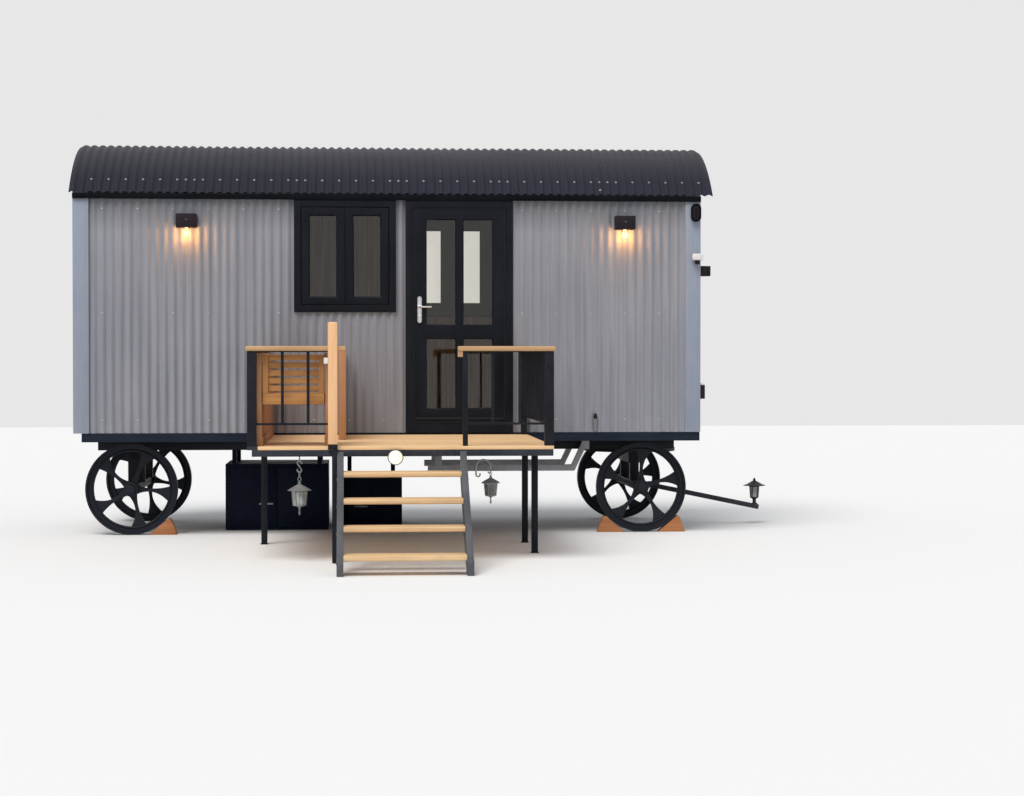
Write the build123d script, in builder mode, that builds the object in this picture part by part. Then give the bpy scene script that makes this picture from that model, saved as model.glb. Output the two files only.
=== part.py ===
"""A timber-framed shepherd's hut on four cast-iron wheels, with a raised deck and an open stair.

The hut is long in X and wide in Y, and its door faces -Y. Sizes are in millimetres. The origin is
the middle of the whole object's outline on the floor, and +Z is up.
"""
import os
from math import cos, radians, sin, sqrt

from build123d import *

os.makedirs("parts", exist_ok=True)

# Shared fits
hair = 0.3
running_fit = 0.05
frame_clearance = 3.0
moving_gap = 5.0
latch_gap = 9.0

# Hut body
hut_length = 5500.0
hut_width = 2160.0
wall_foot = 905.0
corner_board_thickness = 24.0
corner_board_width = 138.0
sheet_depth = 18.0
wall_core_thickness = 90.0
floor_thickness = 60.0
floor_edge_gap = 2.0

# Barrel roof
wall_height = 2138.0
roof_rise = 465.0
roof_edge_drop = 36.0
roof_side_overhang = 35.0
roof_overhang_left = 30.0
roof_overhang_right = 105.0
roof_sheet_thickness = 20.0
roof_board_thickness = 22.0
fascia_thickness = 22.0
fascia_drop = 88.0
cladding_lap = 50.0

# Floor frame and chassis
sill_height = 77.0
sill_width = 100.0
sill_inset = 12.0
sill_inset_left = 70.0
sill_inset_right = 5.0
joist_width = 60.0
joist_count = 8
chassis_height = 100.0
chassis_width = 80.0
chassis_rail_offset = 360.0
chassis_end_inset = 130.0

# Windows
window_left_from_middle = -840.0
window_width = 891.0
opening_head_drop = 99.0
window_height = 981.0
window_frame_face = 60.0
window_frame_depth = 80.0
frame_proud = 10.0
sash_face = 68.0
sash_depth = 56.0
sash_setback = 6.0
sash_gap = 3.0
glass_thickness = 24.0
rear_window_middle = 610.0

# Door
door_left_from_middle = 134.0
door_width = 946.0
door_sill_gap = 1.0
door_frame_face = 65.0
door_head_face = 60.0
door_threshold = 98.0
door_stile = 105.0
door_top_rail = 97.0
door_mid_rail = 113.0
door_mid_rail_rise = 727.0
door_bottom_rail = 103.0
door_mullion = 59.0
door_thickness = 60.0
hinge_pin_radius = 5.0
hinge_barrel_radius = 9.0
hinge_barrel_height = 34.0
hinge_count = 3
hinge_inset = 180.0
hinge_plate = 22.0
hinge_plate_thickness = 6.0

# Door furniture
plate_width = 38.0
plate_height = 234.0
plate_rise = 963.0
plate_thickness = 8.0
plate_from_edge = 30.0
spindle_radius = 8.0
spindle_rise = 141.0
lever_reach = 110.0
lever_bar = 18.0
lever_standoff = 50.0
cylinder_radius = 12.0
cylinder_rise = 56.0
cylinder_proud = 6.0

# Wall lights
light_left_from_middle = -1765.5
light_right_from_middle = 2065.5
light_width = 175.0
light_height = 120.0
light_depth = 120.0
light_drop = 263.0
light_wall = 6.0
bulb_radius = 30.0
bulb_drop = 48.0
bulb_neck_radius = 14.0

# Fittings on the right-hand end
vent_from_end = 2.0
vent_drop = 196.0
vent_width = 88.0
vent_tall = 158.0
vent_proud = 40.0
sensor_from_end = 34.0
sensor_drop = 588.0
sensor_width = 92.0
sensor_tall = 58.0
sensor_deep = 70.0
sensor_foot_radius = 22.0
sensor_foot_drop = 34.0
junction_size = 90.0
junction_drop = 708.0
junction_proud = 95.0
tap_box_rise = 364.0
tap_box_tall = 140.0
tap_box_proud = 46.0
end_fitting_setback = 75.0
outlet_from_middle = 1810.0
outlet_radius = 16.0
outlet_rise = 10.0
outlet_height = 160.0

# Wheels and axles
wheel_diameter = 807.0
wheel_track = 1570.0
rear_axle_from_middle = -2278.0
lead_axle_from_middle = 2258.0
rim_thickness = 72.0
rim_width = 90.0
hub_radius = 66.0
hub_length = 140.0
hub_cap_radius = 42.0
hub_cap_length = 22.0
spoke_count = 5
spoke_root = 74.0
spoke_waist = 34.0
spoke_bow = 14.0
spoke_tip = 150.0
spoke_depth = 34.0
spoke_bite = 12.0
rear_wheel_turn = -8.0
lead_wheel_turn = 12.0
axle_size = 70.0
axle_stub_radius = 25.0
axle_hub_gap = 5.0
bracket_width = 60.0
bracket_length = 150.0

# Fore carriage
turntable_radius = 425.0
turntable_ring_width = 80.0
turntable_thickness = 16.0
kingpin_radius = 20.0
bolster_height = 95.0
bolster_width = 120.0
bolster_reach = 400.0
carriage_post = 80.0
carriage_post_offset = 330.0

# Drawbar
drawbar_pivot_from_axle = 102.0
drawbar_pivot_drop = 11.5
drawbar_slope = 11.7
drawbar_length = 1110.0
drawbar_width = 50.0
drawbar_depth = 44.0
drawbar_pin_radius = 12.0
ear_thickness = 14.0
ear_gap = 1.0
ear_height = 76.0
eye_radius = 42.0
eye_bore = 20.0
drawbar_lantern_from_middle = 3447.0

# Light steel brace beside the fore carriage
brace_start_from_middle = 350.0
brace_end_from_middle = 1690.0
brace_top_from_middle = 1830.0
brace_offset = 470.0
brace_width = 40.0
brace_drop = 195.0
brace_depth = 58.0
brace_hanger_from_middle = 420.0

# Boxes under the floor
large_box_left = -1480.0
large_box_width = 930.0
large_box_headroom = 128.0
small_box_left = -440.0
small_box_width = 570.0
small_box_headroom = 288.0
large_box_front_lap = 30.0
large_box_back_lap = 40.0
small_box_front_lap = 260.0
small_box_back_lap = 160.0
box_strap = 40.0
box_strap_inset = 60.0

# Chocks
chock_toe = 153.0
chock_heel = 397.0
chock_shoulder = 377.0
chock_shoulder_height = 60.0
chock_peak_far = 341.0
chock_peak_near = 321.0
chock_height = 142.0
chock_width = 90.0

# Deck
deck_left_from_middle = -1130.0
deck_width = 2339.0
deck_depth = 2410.0
deck_step_down = 16.0
board_thickness = 28.0
deck_wall_gap = 6.0
deck_steel = 50.0
deck_left_inset = 35.0
deck_right_inset = 4.0
deck_right_beam = 107.0
deck_joist_count = 3
deck_leg_rear = 750.0
deck_leg_front = 1690.0
deck_fixing_width = 60.0
deck_fixing_count = 3
deck_steel_wall_gap = 10.0

# Balustrade
corner_post = 70.0
wall_post = 50.0
slim_post = 38.0
baluster = 22.0
side_pitch = 124.0
left_balusters_from_middle = (-863.0, -668.0)
right_balusters_from_middle = (739.0, 947.0)
bottom_rail_rise = 161.0
bottom_rail = 17.0
top_flat = 8.0
handrail_width = 95.0
handrail_thickness = 38.0
handrail_rise = 763.0
left_slim_post_from_middle = -468.0
right_slim_post_from_middle = 529.0
left_handrail_end_from_middle = -381.0
right_handrail_start_from_middle = 472.0
latch_block_drop = 45.0

# Tall marker post beside the stair
marker_width = 72.0
marker_thickness = 24.0
marker_rise = 945.0

# Seat
lining_thickness = 45.0
seat_screen_from_middle = -446.0
seat_screen_thickness = 60.0
seat_screen_reach = 1200.0
seat_screen_tall = 752.0
seat_side_from_middle = -546.0
seat_side_thickness = 41.0
seat_depth = 450.0
seat_rise = 401.0
seat_board = 30.0
seat_rail = 85.0
seat_apron_thickness = 28.0
seat_slat_count = 5
seat_slat_height = 45.0
seat_slat_pitch = 59.0
seat_slat_thickness = 22.0
seat_slat_lift = 16.0
seat_stile_width = 42.0
seat_stile_thickness = 20.0
seat_wall_gap = 40.0

# Stair
rise = 186.0
going = 250.0
tread_depth = 225.0
tread_thickness = 38.0
tread_count = 4
stair_left_from_middle = -448.0
stair_right_from_middle = 537.0
stringer_width = 49.0
stringer_drop = 39.0
stringer_depth = 200.0
stair_reach = 1020.0
stair_leg = 40.0

# Hanging lanterns
lantern_radius = 92.0
lantern_cap_height = 50.0
lantern_body_height = 116.0
lantern_body_top = 60.0
lantern_body_foot = 48.0
lantern_finial_radius = 9.0
lantern_finial = 78.0
lantern_neck_radius = 14.0
lantern_neck = 24.0
lantern_hanger_radius = 5.0
lantern_sides = 6
deck_lantern_from_middle = -735.0
deck_lantern_drop = 209.0
brace_lantern_from_middle = 912.0
brace_lantern_drop = 109.0
brace_lantern_radius = 86.0
brace_lantern_standoff = 60.0
drawbar_lantern_radius = 106.0
drawbar_lantern_rise = 220.0
drawbar_lantern_stem = 12.0
drawbar_lantern_foot = 32.0
drawbar_lantern_plate = 8.0

# Round light under the deck edge
step_light_from_middle = -6.0
step_light_radius = 60.0
step_light_depth = 42.0
step_light_drop = 84.0

# Where the hut stands, so that the origin is the middle of the outline
reach_left = hut_length / 2 + roof_overhang_left
reach_right = drawbar_lantern_from_middle + drawbar_lantern_radius
reach_front = deck_depth + stair_reach
reach_back = hut_width + roof_side_overhang
middle_x = (reach_left - reach_right) / 2
front = (reach_front - reach_back) / 2
back = front + hut_width
middle_y = front + hut_width / 2
left_end = middle_x - hut_length / 2
right_end = middle_x + hut_length / 2

# Wall planes
core_front = front + corner_board_thickness
core_back = back - corner_board_thickness
inner_front = core_front + wall_core_thickness
inner_back = core_back - wall_core_thickness
core_left = left_end + corner_board_thickness
core_right = right_end - corner_board_thickness
inner_left = core_left + wall_core_thickness
inner_right = core_right - wall_core_thickness
core_half = hut_width / 2 - corner_board_thickness

# Roof circle
eave_edge = wall_foot + wall_height
roof_crest = eave_edge + roof_rise
fascia_foot = eave_edge - fascia_drop
roof_half = hut_width / 2 + roof_side_overhang
roof_arch = roof_rise + roof_edge_drop
roof_radius = (roof_half**2 + roof_arch**2) / (2 * roof_arch)
roof_centre_z = roof_crest - roof_radius
sheet_inner = roof_radius - roof_sheet_thickness
boards_outer = sheet_inner - hair
boards_inner = boards_outer - roof_board_thickness
wall_head = boards_inner - hair
cladding_top = fascia_foot + cladding_lap
fascia_outer_offset = hut_width / 2 + fascia_thickness
fascia_top = roof_centre_z + sqrt(sheet_inner**2 - fascia_outer_offset**2) - hair

# Openings
window_top = eave_edge - opening_head_drop
window_foot = window_top - window_height
door_foot = wall_foot + door_sill_gap
window_left = middle_x + window_left_from_middle
window_right = window_left + window_width
rear_window_left = middle_x + rear_window_middle - window_width / 2
rear_window_right = rear_window_left + window_width
door_left = middle_x + door_left_from_middle
door_right = door_left + door_width
door_head = window_top
door_hole_left = door_left - frame_clearance
door_hole_right = door_right + frame_clearance
door_hole_head = door_head + frame_clearance

# Chassis levels
sill_foot = wall_foot - sill_height
chassis_foot = sill_foot - chassis_height
wheel_radius = wheel_diameter / 2
axle_z = wheel_radius
rear_axle_x = middle_x + rear_axle_from_middle
lead_axle_x = middle_x + lead_axle_from_middle
rail_near_y = middle_y - chassis_rail_offset
rail_far_y = middle_y + chassis_rail_offset

# Deck places
deck_top = wall_foot - deck_step_down
deck_left = middle_x + deck_left_from_middle
deck_right = deck_left + deck_width
deck_front = front - deck_depth
deck_back = front - deck_wall_gap
board_foot = deck_top - board_thickness
deck_steel_foot = board_foot - deck_steel
steel_left = deck_left + deck_left_inset
steel_right = deck_right - deck_right_inset
steel_back = front - deck_steel_wall_gap
rail_plane_y = deck_front + corner_post / 2
handrail_top = deck_top + handrail_rise
handrail_foot = handrail_top - handrail_thickness
bottom_rail_foot = deck_top + bottom_rail_rise
top_flat_foot = handrail_foot - top_flat


def block(x0, x1, y0, y1, z0, z1, mode=Mode.ADD):
    """Adds, or cuts, a plain block between two corners in the part being made."""
    with Locations(((x0 + x1) / 2, (y0 + y1) / 2, (z0 + z1) / 2)):
        Box(x1 - x0, y1 - y0, z1 - z0, mode=mode)


def rod_y(x, y0, y1, z, radius, mode=Mode.ADD):
    """Adds, or cuts, a round rod that lies along Y."""
    with Locations((x, (y0 + y1) / 2, z)):
        Cylinder(radius, y1 - y0, rotation=(90, 0, 0), mode=mode)


def rod_z(x, y, z0, z1, radius, mode=Mode.ADD):
    """Adds, or cuts, an upright round rod."""
    with Locations((x, y, (z0 + z1) / 2)):
        Cylinder(radius, z1 - z0, mode=mode)


def finish(builder, name):
    """Labels a finished piece and writes its file."""
    builder.part.label = name
    export_step(builder.part, "parts/" + name + ".step")


def upright_frame(x0, x1, y0, y1, z0, z1, face, foot_face):
    """Adds a rectangular frame that stands in the XZ plane, with its own foot rail height."""
    block(x0, x1, y0, y1, z0, z1)
    block(x0 + face, x1 - face, y0, y1, z0 + foot_face, z1 - face, mode=Mode.SUBTRACT)


# Floor frame: a ring of sills with joists across it
with BuildPart() as floor_frame:
    sill_left = left_end + sill_inset_left
    sill_right = right_end - sill_inset_right
    sill_front = front + sill_inset
    sill_back = back - sill_inset
    block(sill_left, sill_right, sill_front, sill_back, sill_foot, wall_foot)
    block(
        sill_left + sill_width,
        sill_right - sill_width,
        sill_front + sill_width,
        sill_back - sill_width,
        sill_foot,
        wall_foot,
        mode=Mode.SUBTRACT,
    )
    joist_pitch = (sill_right - sill_left) / (joist_count + 1)
    for index in range(joist_count):
        joist_x = sill_left + joist_pitch * (index + 1)
        block(
            joist_x - joist_width / 2,
            joist_x + joist_width / 2,
            sill_front,
            sill_back,
            sill_foot,
            wall_foot,
        )
finish(floor_frame, "floor_frame")

with BuildPart() as floor_panel:
    block(
        inner_left + floor_edge_gap,
        inner_right - floor_edge_gap,
        inner_front + floor_edge_gap,
        inner_back - floor_edge_gap,
        wall_foot,
        wall_foot + floor_thickness,
    )
finish(floor_panel, "floor_panel")


def panel_joints(x0, x1, y0, y1):
    """Cuts the hairline joints between a wall's panels, one on each side of a window opening."""
    for joint_x in (x0 - hair, x1):
        block(joint_x, joint_x + hair, y0, y1, wall_foot, roof_crest, mode=Mode.SUBTRACT)


# Side walls, whose tops follow the underside of the roof boards
with BuildPart() as front_wall_left:
    with BuildSketch(Plane.YZ.offset(inner_left)):
        with Locations((core_front + wall_core_thickness / 2, (fascia_foot + roof_crest) / 2)):
            Rectangle(wall_core_thickness, roof_crest - fascia_foot)
        with Locations((middle_y, roof_centre_z)):
            Circle(wall_head, mode=Mode.INTERSECT)
        with Locations((core_front + wall_core_thickness / 2, (wall_foot + fascia_foot) / 2)):
            Rectangle(wall_core_thickness, fascia_foot - wall_foot)
    extrude(amount=door_hole_left - inner_left)
    block(
        window_left - frame_clearance,
        window_right + frame_clearance,
        core_front,
        inner_front,
        window_foot - frame_clearance,
        window_top + frame_clearance,
        mode=Mode.SUBTRACT,
    )
    panel_joints(window_left - frame_clearance, window_right + frame_clearance, core_front, inner_front)
finish(front_wall_left, "front_wall_left")

with BuildPart() as front_wall_right:
    with BuildSketch(Plane.YZ.offset(door_hole_right)):
        with Locations((core_front + wall_core_thickness / 2, (fascia_foot + roof_crest) / 2)):
            Rectangle(wall_core_thickness, roof_crest - fascia_foot)
        with Locations((middle_y, roof_centre_z)):
            Circle(wall_head, mode=Mode.INTERSECT)
        with Locations((core_front + wall_core_thickness / 2, (wall_foot + fascia_foot) / 2)):
            Rectangle(wall_core_thickness, fascia_foot - wall_foot)
    extrude(amount=inner_right - door_hole_right)
finish(front_wall_right, "front_wall_right")

with BuildPart() as wall_over_door:
    with BuildSketch(Plane.YZ.offset(door_hole_left)):
        with Locations((core_front + wall_core_thickness / 2, (door_hole_head + roof_crest) / 2)):
            Rectangle(wall_core_thickness, roof_crest - door_hole_head)
        with Locations((middle_y, roof_centre_z)):
            Circle(wall_head, mode=Mode.INTERSECT)
    extrude(amount=door_hole_right - door_hole_left)
finish(wall_over_door, "wall_over_door")

with BuildPart() as back_wall:
    with BuildSketch(Plane.YZ.offset(inner_left)):
        with Locations((core_back - wall_core_thickness / 2, (fascia_foot + roof_crest) / 2)):
            Rectangle(wall_core_thickness, roof_crest - fascia_foot)
        with Locations((middle_y, roof_centre_z)):
            Circle(wall_head, mode=Mode.INTERSECT)
        with Locations((core_back - wall_core_thickness / 2, (wall_foot + fascia_foot) / 2)):
            Rectangle(wall_core_thickness, fascia_foot - wall_foot)
    extrude(amount=inner_right - inner_left)
    block(
        rear_window_left - frame_clearance,
        rear_window_right + frame_clearance,
        inner_back,
        core_back,
        window_foot - frame_clearance,
        window_top + frame_clearance,
        mode=Mode.SUBTRACT,
    )
    panel_joints(
        rear_window_left - frame_clearance,
        rear_window_right + frame_clearance,
        inner_back,
        core_back,
    )
finish(back_wall, "back_wall")

# End walls with arched heads
with BuildPart() as end_walls:
    for end_x in (core_left, inner_right):
        with BuildSketch(Plane.YZ.offset(end_x)):
            with Locations((middle_y, (fascia_foot + roof_crest) / 2)):
                Rectangle(core_half * 2, roof_crest - fascia_foot)
            with Locations((middle_y, roof_centre_z)):
                Circle(wall_head, mode=Mode.INTERSECT)
            with Locations((middle_y, (wall_foot + fascia_foot) / 2)):
                Rectangle(core_half * 2, fascia_foot - wall_foot)
        extrude(amount=wall_core_thickness)
finish(end_walls, "end_walls")


# Corner boards wrap the four corners
with BuildPart() as corner_boards:
    board_long = corner_board_width
    board_thin = corner_board_thickness
    for corner_x, along in ((left_end, 1), (right_end, -1)):
        for corner_y, inward in ((front, 1), (back, -1)):
            x_long = sorted((corner_x, corner_x + along * board_long))
            x_thin = sorted((corner_x, corner_x + along * board_thin))
            y_long = sorted((corner_y, corner_y + inward * board_long))
            y_thin = sorted((corner_y, corner_y + inward * board_thin))
            block(*x_long, *y_thin, wall_foot, cladding_top)
            block(*x_thin, *y_long, wall_foot, cladding_top)
finish(corner_boards, "corner_boards")

# Sheet cladding, as flat backed skins between the corner boards
skin_left = left_end + corner_board_width
skin_right = right_end - corner_board_width
skin_half = hut_width / 2 - corner_board_width
skin_front = core_front - sheet_depth
skin_back = core_back + sheet_depth
with BuildPart() as wall_cladding:
    block(skin_left, skin_right, skin_front, core_front, wall_foot, cladding_top)
    block(window_left, window_right, skin_front, core_front, window_foot, window_top, mode=Mode.SUBTRACT)
    block(door_left, door_right, skin_front, core_front, wall_foot, door_head, mode=Mode.SUBTRACT)
    block(skin_left, skin_right, core_back, skin_back, wall_foot, cladding_top)
    block(
        rear_window_left,
        rear_window_right,
        core_back,
        skin_back,
        window_foot,
        window_top,
        mode=Mode.SUBTRACT,
    )
    for end_x in (core_left - sheet_depth, core_right):
        with BuildSketch(Plane.YZ.offset(end_x)):
            with Locations((middle_y, (cladding_top + roof_crest) / 2)):
                Rectangle(core_half * 2, roof_crest - cladding_top)
            with Locations((middle_y, roof_centre_z)):
                Circle(wall_head, mode=Mode.INTERSECT)
            with Locations((middle_y, (wall_foot + cladding_top) / 2)):
                Rectangle(skin_half * 2, cladding_top - wall_foot)
        extrude(amount=sheet_depth)
finish(wall_cladding, "wall_cladding")


# Roof boards and the sheet over them
with BuildPart() as roof_boards_part:
    with BuildSketch(Plane.YZ.offset(left_end)):
        with Locations((middle_y, roof_centre_z)):
            Circle(boards_outer)
            Circle(boards_inner, mode=Mode.SUBTRACT)
        with Locations((middle_y, (cladding_top + hair + roof_crest) / 2)):
            Rectangle(hut_width, roof_crest - cladding_top - hair, mode=Mode.INTERSECT)
    extrude(amount=hut_length)
finish(roof_boards_part, "roof_boards")

sheet_edge_foot = roof_centre_z + sqrt(sheet_inner**2 - roof_half**2)
with BuildPart() as roof_sheet:
    with BuildSketch(Plane.YZ.offset(left_end - roof_overhang_left)):
        with Locations((middle_y, roof_centre_z)):
            Circle(roof_radius)
            Circle(sheet_inner, mode=Mode.SUBTRACT)
        with Locations((middle_y, (sheet_edge_foot + roof_crest) / 2)):
            Rectangle(roof_half * 2, roof_crest - sheet_edge_foot, mode=Mode.INTERSECT)
    extrude(amount=hut_length + roof_overhang_left + roof_overhang_right)
finish(roof_sheet, "roof_sheet")

with BuildPart() as eave_fascias:
    block(left_end, right_end, front - fascia_thickness, front, fascia_foot, fascia_top)
    block(left_end, right_end, back, back + fascia_thickness, fascia_foot, fascia_top)
finish(eave_fascias, "eave_fascias")


# Double casement windows, one in each side wall: x of the left edge, outer wall plane and way in
windows = ((window_left, front, 1), (rear_window_left, back, -1))
casement_offset = window_frame_face + sash_gap
casement_width = (window_width - 2 * casement_offset - sash_gap) / 2
casement_foot = window_foot + casement_offset
casement_top = window_top - casement_offset
stop_cover = sash_face / 2
sash_back = sash_setback - frame_proud + sash_depth
frame_back = window_frame_depth - frame_proud
with BuildPart() as window_frames:
    for x0, wall_y, inward in windows:
        x1 = x0 + window_width
        frame_y = sorted((wall_y - inward * frame_proud, wall_y + inward * frame_back))
        stop_y = sorted((wall_y + inward * (sash_back + hair), wall_y + inward * frame_back))
        upright_frame(x0, x1, *frame_y, window_foot, window_top, window_frame_face, window_frame_face)
        stop_face = casement_offset + stop_cover
        upright_frame(x0, x1, *stop_y, window_foot, window_top, stop_face, stop_face)
finish(window_frames, "window_frames")

with BuildPart() as window_sashes:
    for x0, wall_y, inward in windows:
        sash_y = sorted((wall_y + inward * (sash_setback - frame_proud), wall_y + inward * sash_back))
        for start in (x0 + casement_offset, x0 + casement_offset + casement_width + sash_gap):
            end = start + casement_width
            upright_frame(start, end, *sash_y, casement_foot, casement_top, sash_face, sash_face)
finish(window_sashes, "window_sashes")

with BuildPart() as window_glass:
    for x0, wall_y, inward in windows:
        glass_mid = wall_y + inward * (sash_back - sash_depth / 2)
        for start in (x0 + casement_offset, x0 + casement_offset + casement_width + sash_gap):
            block(
                start + sash_face,
                start + casement_width - sash_face,
                glass_mid - glass_thickness / 2,
                glass_mid + glass_thickness / 2,
                casement_foot + sash_face,
                casement_top - sash_face,
            )
finish(window_glass, "window_glass")


# Door frame, with the fixed halves of the hinges
leaf_left = door_left + door_frame_face + latch_gap
leaf_right = door_right - door_frame_face - moving_gap
leaf_foot = door_foot + door_threshold + moving_gap
leaf_head = door_head - door_head_face - moving_gap
leaf_front = front
leaf_back = front + door_thickness
hinge_x = leaf_right + moving_gap / 2
hinge_y = leaf_back + hinge_barrel_radius + hair
hinge_span = leaf_head - leaf_foot - 2 * hinge_inset
hinge_heights = [
    leaf_foot + hinge_inset + hinge_span * index / (hinge_count - 1)
    for index in range(hinge_count)
]
frame_edge = door_right - door_frame_face

with BuildPart() as door_frame:
    block(door_left, door_right, front - frame_proud, leaf_back, door_foot, door_head)
    block(
        door_left + door_frame_face,
        frame_edge,
        front - frame_proud,
        leaf_back,
        door_foot + door_threshold,
        door_head - door_head_face,
        mode=Mode.SUBTRACT,
    )
    for height in hinge_heights:
        rod_z(hinge_x, hinge_y, height - hinge_barrel_height, height, hinge_barrel_radius)
        rod_z(hinge_x, hinge_y, height, height + hinge_barrel_height, hinge_pin_radius)
        block(
            hinge_x + hinge_pin_radius,
            frame_edge + hinge_plate,
            leaf_back,
            leaf_back + hinge_plate_thickness,
            height - hinge_barrel_height,
            height,
        )
finish(door_frame, "door_frame")

# Door leaf with four panes, a spindle hole and its halves of the hinges
pane_left = leaf_left + door_stile
pane_right = leaf_right - door_stile
pane_width = (pane_right - pane_left - door_mullion) / 2
pane_starts = (pane_left, pane_left + pane_width + door_mullion)
door_mid_rail_foot = leaf_foot + door_mid_rail_rise
lower_pane = (leaf_foot + door_bottom_rail, door_mid_rail_foot)
upper_pane = (door_mid_rail_foot + door_mid_rail, leaf_head - door_top_rail)
plate_foot = door_foot + plate_rise
spindle_height = plate_foot + spindle_rise
cylinder_height = plate_foot + cylinder_rise
plate_left = leaf_left + plate_from_edge
spindle_x = plate_left + plate_width / 2

with BuildPart() as door_leaf:
    block(leaf_left, leaf_right, leaf_front, leaf_back, leaf_foot, leaf_head)
    for pane_x in pane_starts:
        for pane_z0, pane_z1 in (lower_pane, upper_pane):
            block(
                pane_x,
                pane_x + pane_width,
                leaf_front,
                leaf_back,
                pane_z0,
                pane_z1,
                mode=Mode.SUBTRACT,
            )
    rod_y(spindle_x, leaf_front, leaf_back, spindle_height, spindle_radius + running_fit, mode=Mode.SUBTRACT)
    for height in hinge_heights:
        knuckle_foot = height + hair
        knuckle_head = height + hinge_barrel_height
        rod_z(hinge_x, hinge_y, knuckle_foot, knuckle_head, hinge_barrel_radius)
        block(
            leaf_right - hinge_plate,
            hinge_x - hinge_pin_radius,
            leaf_back,
            leaf_back + hinge_plate_thickness,
            knuckle_foot,
            knuckle_head,
        )
        rod_z(
            hinge_x,
            hinge_y,
            knuckle_foot,
            knuckle_head,
            hinge_pin_radius + running_fit,
            mode=Mode.SUBTRACT,
        )
finish(door_leaf, "door_leaf")

with BuildPart() as door_glass:
    leaf_mid = (leaf_front + leaf_back) / 2
    for pane_x in pane_starts:
        for pane_z0, pane_z1 in (lower_pane, upper_pane):
            block(
                pane_x,
                pane_x + pane_width,
                leaf_mid - glass_thickness / 2,
                leaf_mid + glass_thickness / 2,
                pane_z0,
                pane_z1,
            )
finish(door_glass, "door_glass")

with BuildPart() as door_handle_plates:
    for plate_y0, plate_y1, lock_y0, lock_y1 in (
        (leaf_front - plate_thickness, leaf_front, leaf_front - plate_thickness - cylinder_proud, leaf_front),
        (leaf_back, leaf_back + plate_thickness, leaf_back, leaf_back + plate_thickness + cylinder_proud),
    ):
        block(plate_left, plate_left + plate_width, plate_y0, plate_y1, plate_foot, plate_foot + plate_height)
        rod_y(spindle_x, lock_y0, lock_y1, cylinder_height, cylinder_radius)
        rod_y(
            spindle_x,
            plate_y0,
            plate_y1,
            spindle_height,
            spindle_radius + running_fit,
            mode=Mode.SUBTRACT,
        )
finish(door_handle_plates, "door_handle_plates")

with BuildPart() as door_lever:
    rod_y(spindle_x, leaf_front - lever_standoff, leaf_back + lever_standoff, spindle_height, spindle_radius)
    for lever_y0, lever_y1 in (
        (leaf_front - lever_standoff - lever_bar / 2, leaf_front - lever_standoff + lever_bar / 2),
        (leaf_back + lever_standoff - lever_bar / 2, leaf_back + lever_standoff + lever_bar / 2),
    ):
        block(
            spindle_x - spindle_radius,
            spindle_x + lever_reach,
            lever_y0,
            lever_y1,
            spindle_height - lever_bar / 2,
            spindle_height + lever_bar / 2,
        )
finish(door_lever, "door_lever")


# Wall lights: box shades, open below, with round bulbs
light_middles = (middle_x + light_left_from_middle, middle_x + light_right_from_middle)
light_back = core_front - sheet_depth
light_foot = fascia_foot - light_drop
light_y = light_back - light_depth / 2
with BuildPart() as wall_light_shades:
    for light_x in light_middles:
        block(
            light_x - light_width / 2,
            light_x + light_width / 2,
            light_back - light_depth,
            light_back,
            light_foot,
            light_foot + light_height,
        )
        block(
            light_x - light_width / 2 + light_wall,
            light_x + light_width / 2 - light_wall,
            light_back - light_depth + light_wall,
            light_back - light_wall,
            light_foot,
            light_foot + light_height - light_wall,
            mode=Mode.SUBTRACT,
        )
finish(wall_light_shades, "wall_light_shades")

with BuildPart() as wall_light_bulbs:
    for light_x in light_middles:
        with Locations((light_x, light_y, light_foot - bulb_drop)):
            Sphere(bulb_radius)
        rod_z(
            light_x,
            light_y,
            light_foot - bulb_drop,
            light_foot + light_height - light_wall,
            bulb_neck_radius,
        )
finish(wall_light_bulbs, "wall_light_bulbs")

# Small fittings by the right-hand end
vent_x = right_end - vent_from_end - vent_width / 2
vent_height = eave_edge - vent_drop
sensor_x = right_end - sensor_from_end
sensor_foot = eave_edge - sensor_drop - sensor_tall / 2
junction_height = eave_edge - junction_drop
tap_box_height = wall_foot + tap_box_rise
with BuildPart() as corner_fittings:
    with BuildSketch(Plane.XZ.offset(-front)):
        with Locations((vent_x, vent_height)):
            SlotOverall(vent_tall, vent_width, rotation=90)
    extrude(amount=vent_proud)
    rod_z(
        sensor_x,
        front - sensor_deep / 2,
        sensor_foot - sensor_foot_drop,
        sensor_foot,
        sensor_foot_radius,
    )
    block(
        sensor_x - sensor_foot_radius,
        sensor_x + sensor_foot_radius,
        front - sensor_deep / 2,
        front,
        sensor_foot - sensor_foot_drop,
        sensor_foot,
    )
    block(
        sensor_x - sensor_width / 2,
        sensor_x + sensor_width / 2,
        front - sensor_deep,
        front,
        sensor_foot,
        sensor_foot + sensor_tall,
    )
    block(
        right_end,
        right_end + junction_proud,
        front + end_fitting_setback - junction_size / 2,
        front + end_fitting_setback + junction_size / 2,
        junction_height - junction_size / 2,
        junction_height + junction_size / 2,
    )
    block(
        right_end,
        right_end + tap_box_proud,
        front + end_fitting_setback - tap_box_proud,
        front + end_fitting_setback + tap_box_proud,
        tap_box_height - tap_box_tall / 2,
        tap_box_height + tap_box_tall / 2,
    )
    outlet_x = middle_x + outlet_from_middle
    outlet_foot = wall_foot + outlet_rise
    outlet_y = core_front - sheet_depth - outlet_radius
    rod_z(outlet_x, outlet_y, outlet_foot, outlet_foot + outlet_height, outlet_radius)
finish(corner_fittings, "corner_fittings")


# Chassis rails under the floor frame
with BuildPart() as chassis_rails:
    for rail_y in (rail_near_y, rail_far_y):
        block(
            left_end + chassis_end_inset,
            right_end - chassis_end_inset,
            rail_y - chassis_width / 2,
            rail_y + chassis_width / 2,
            chassis_foot,
            sill_foot,
        )
finish(chassis_rails, "chassis_rails")

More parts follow.
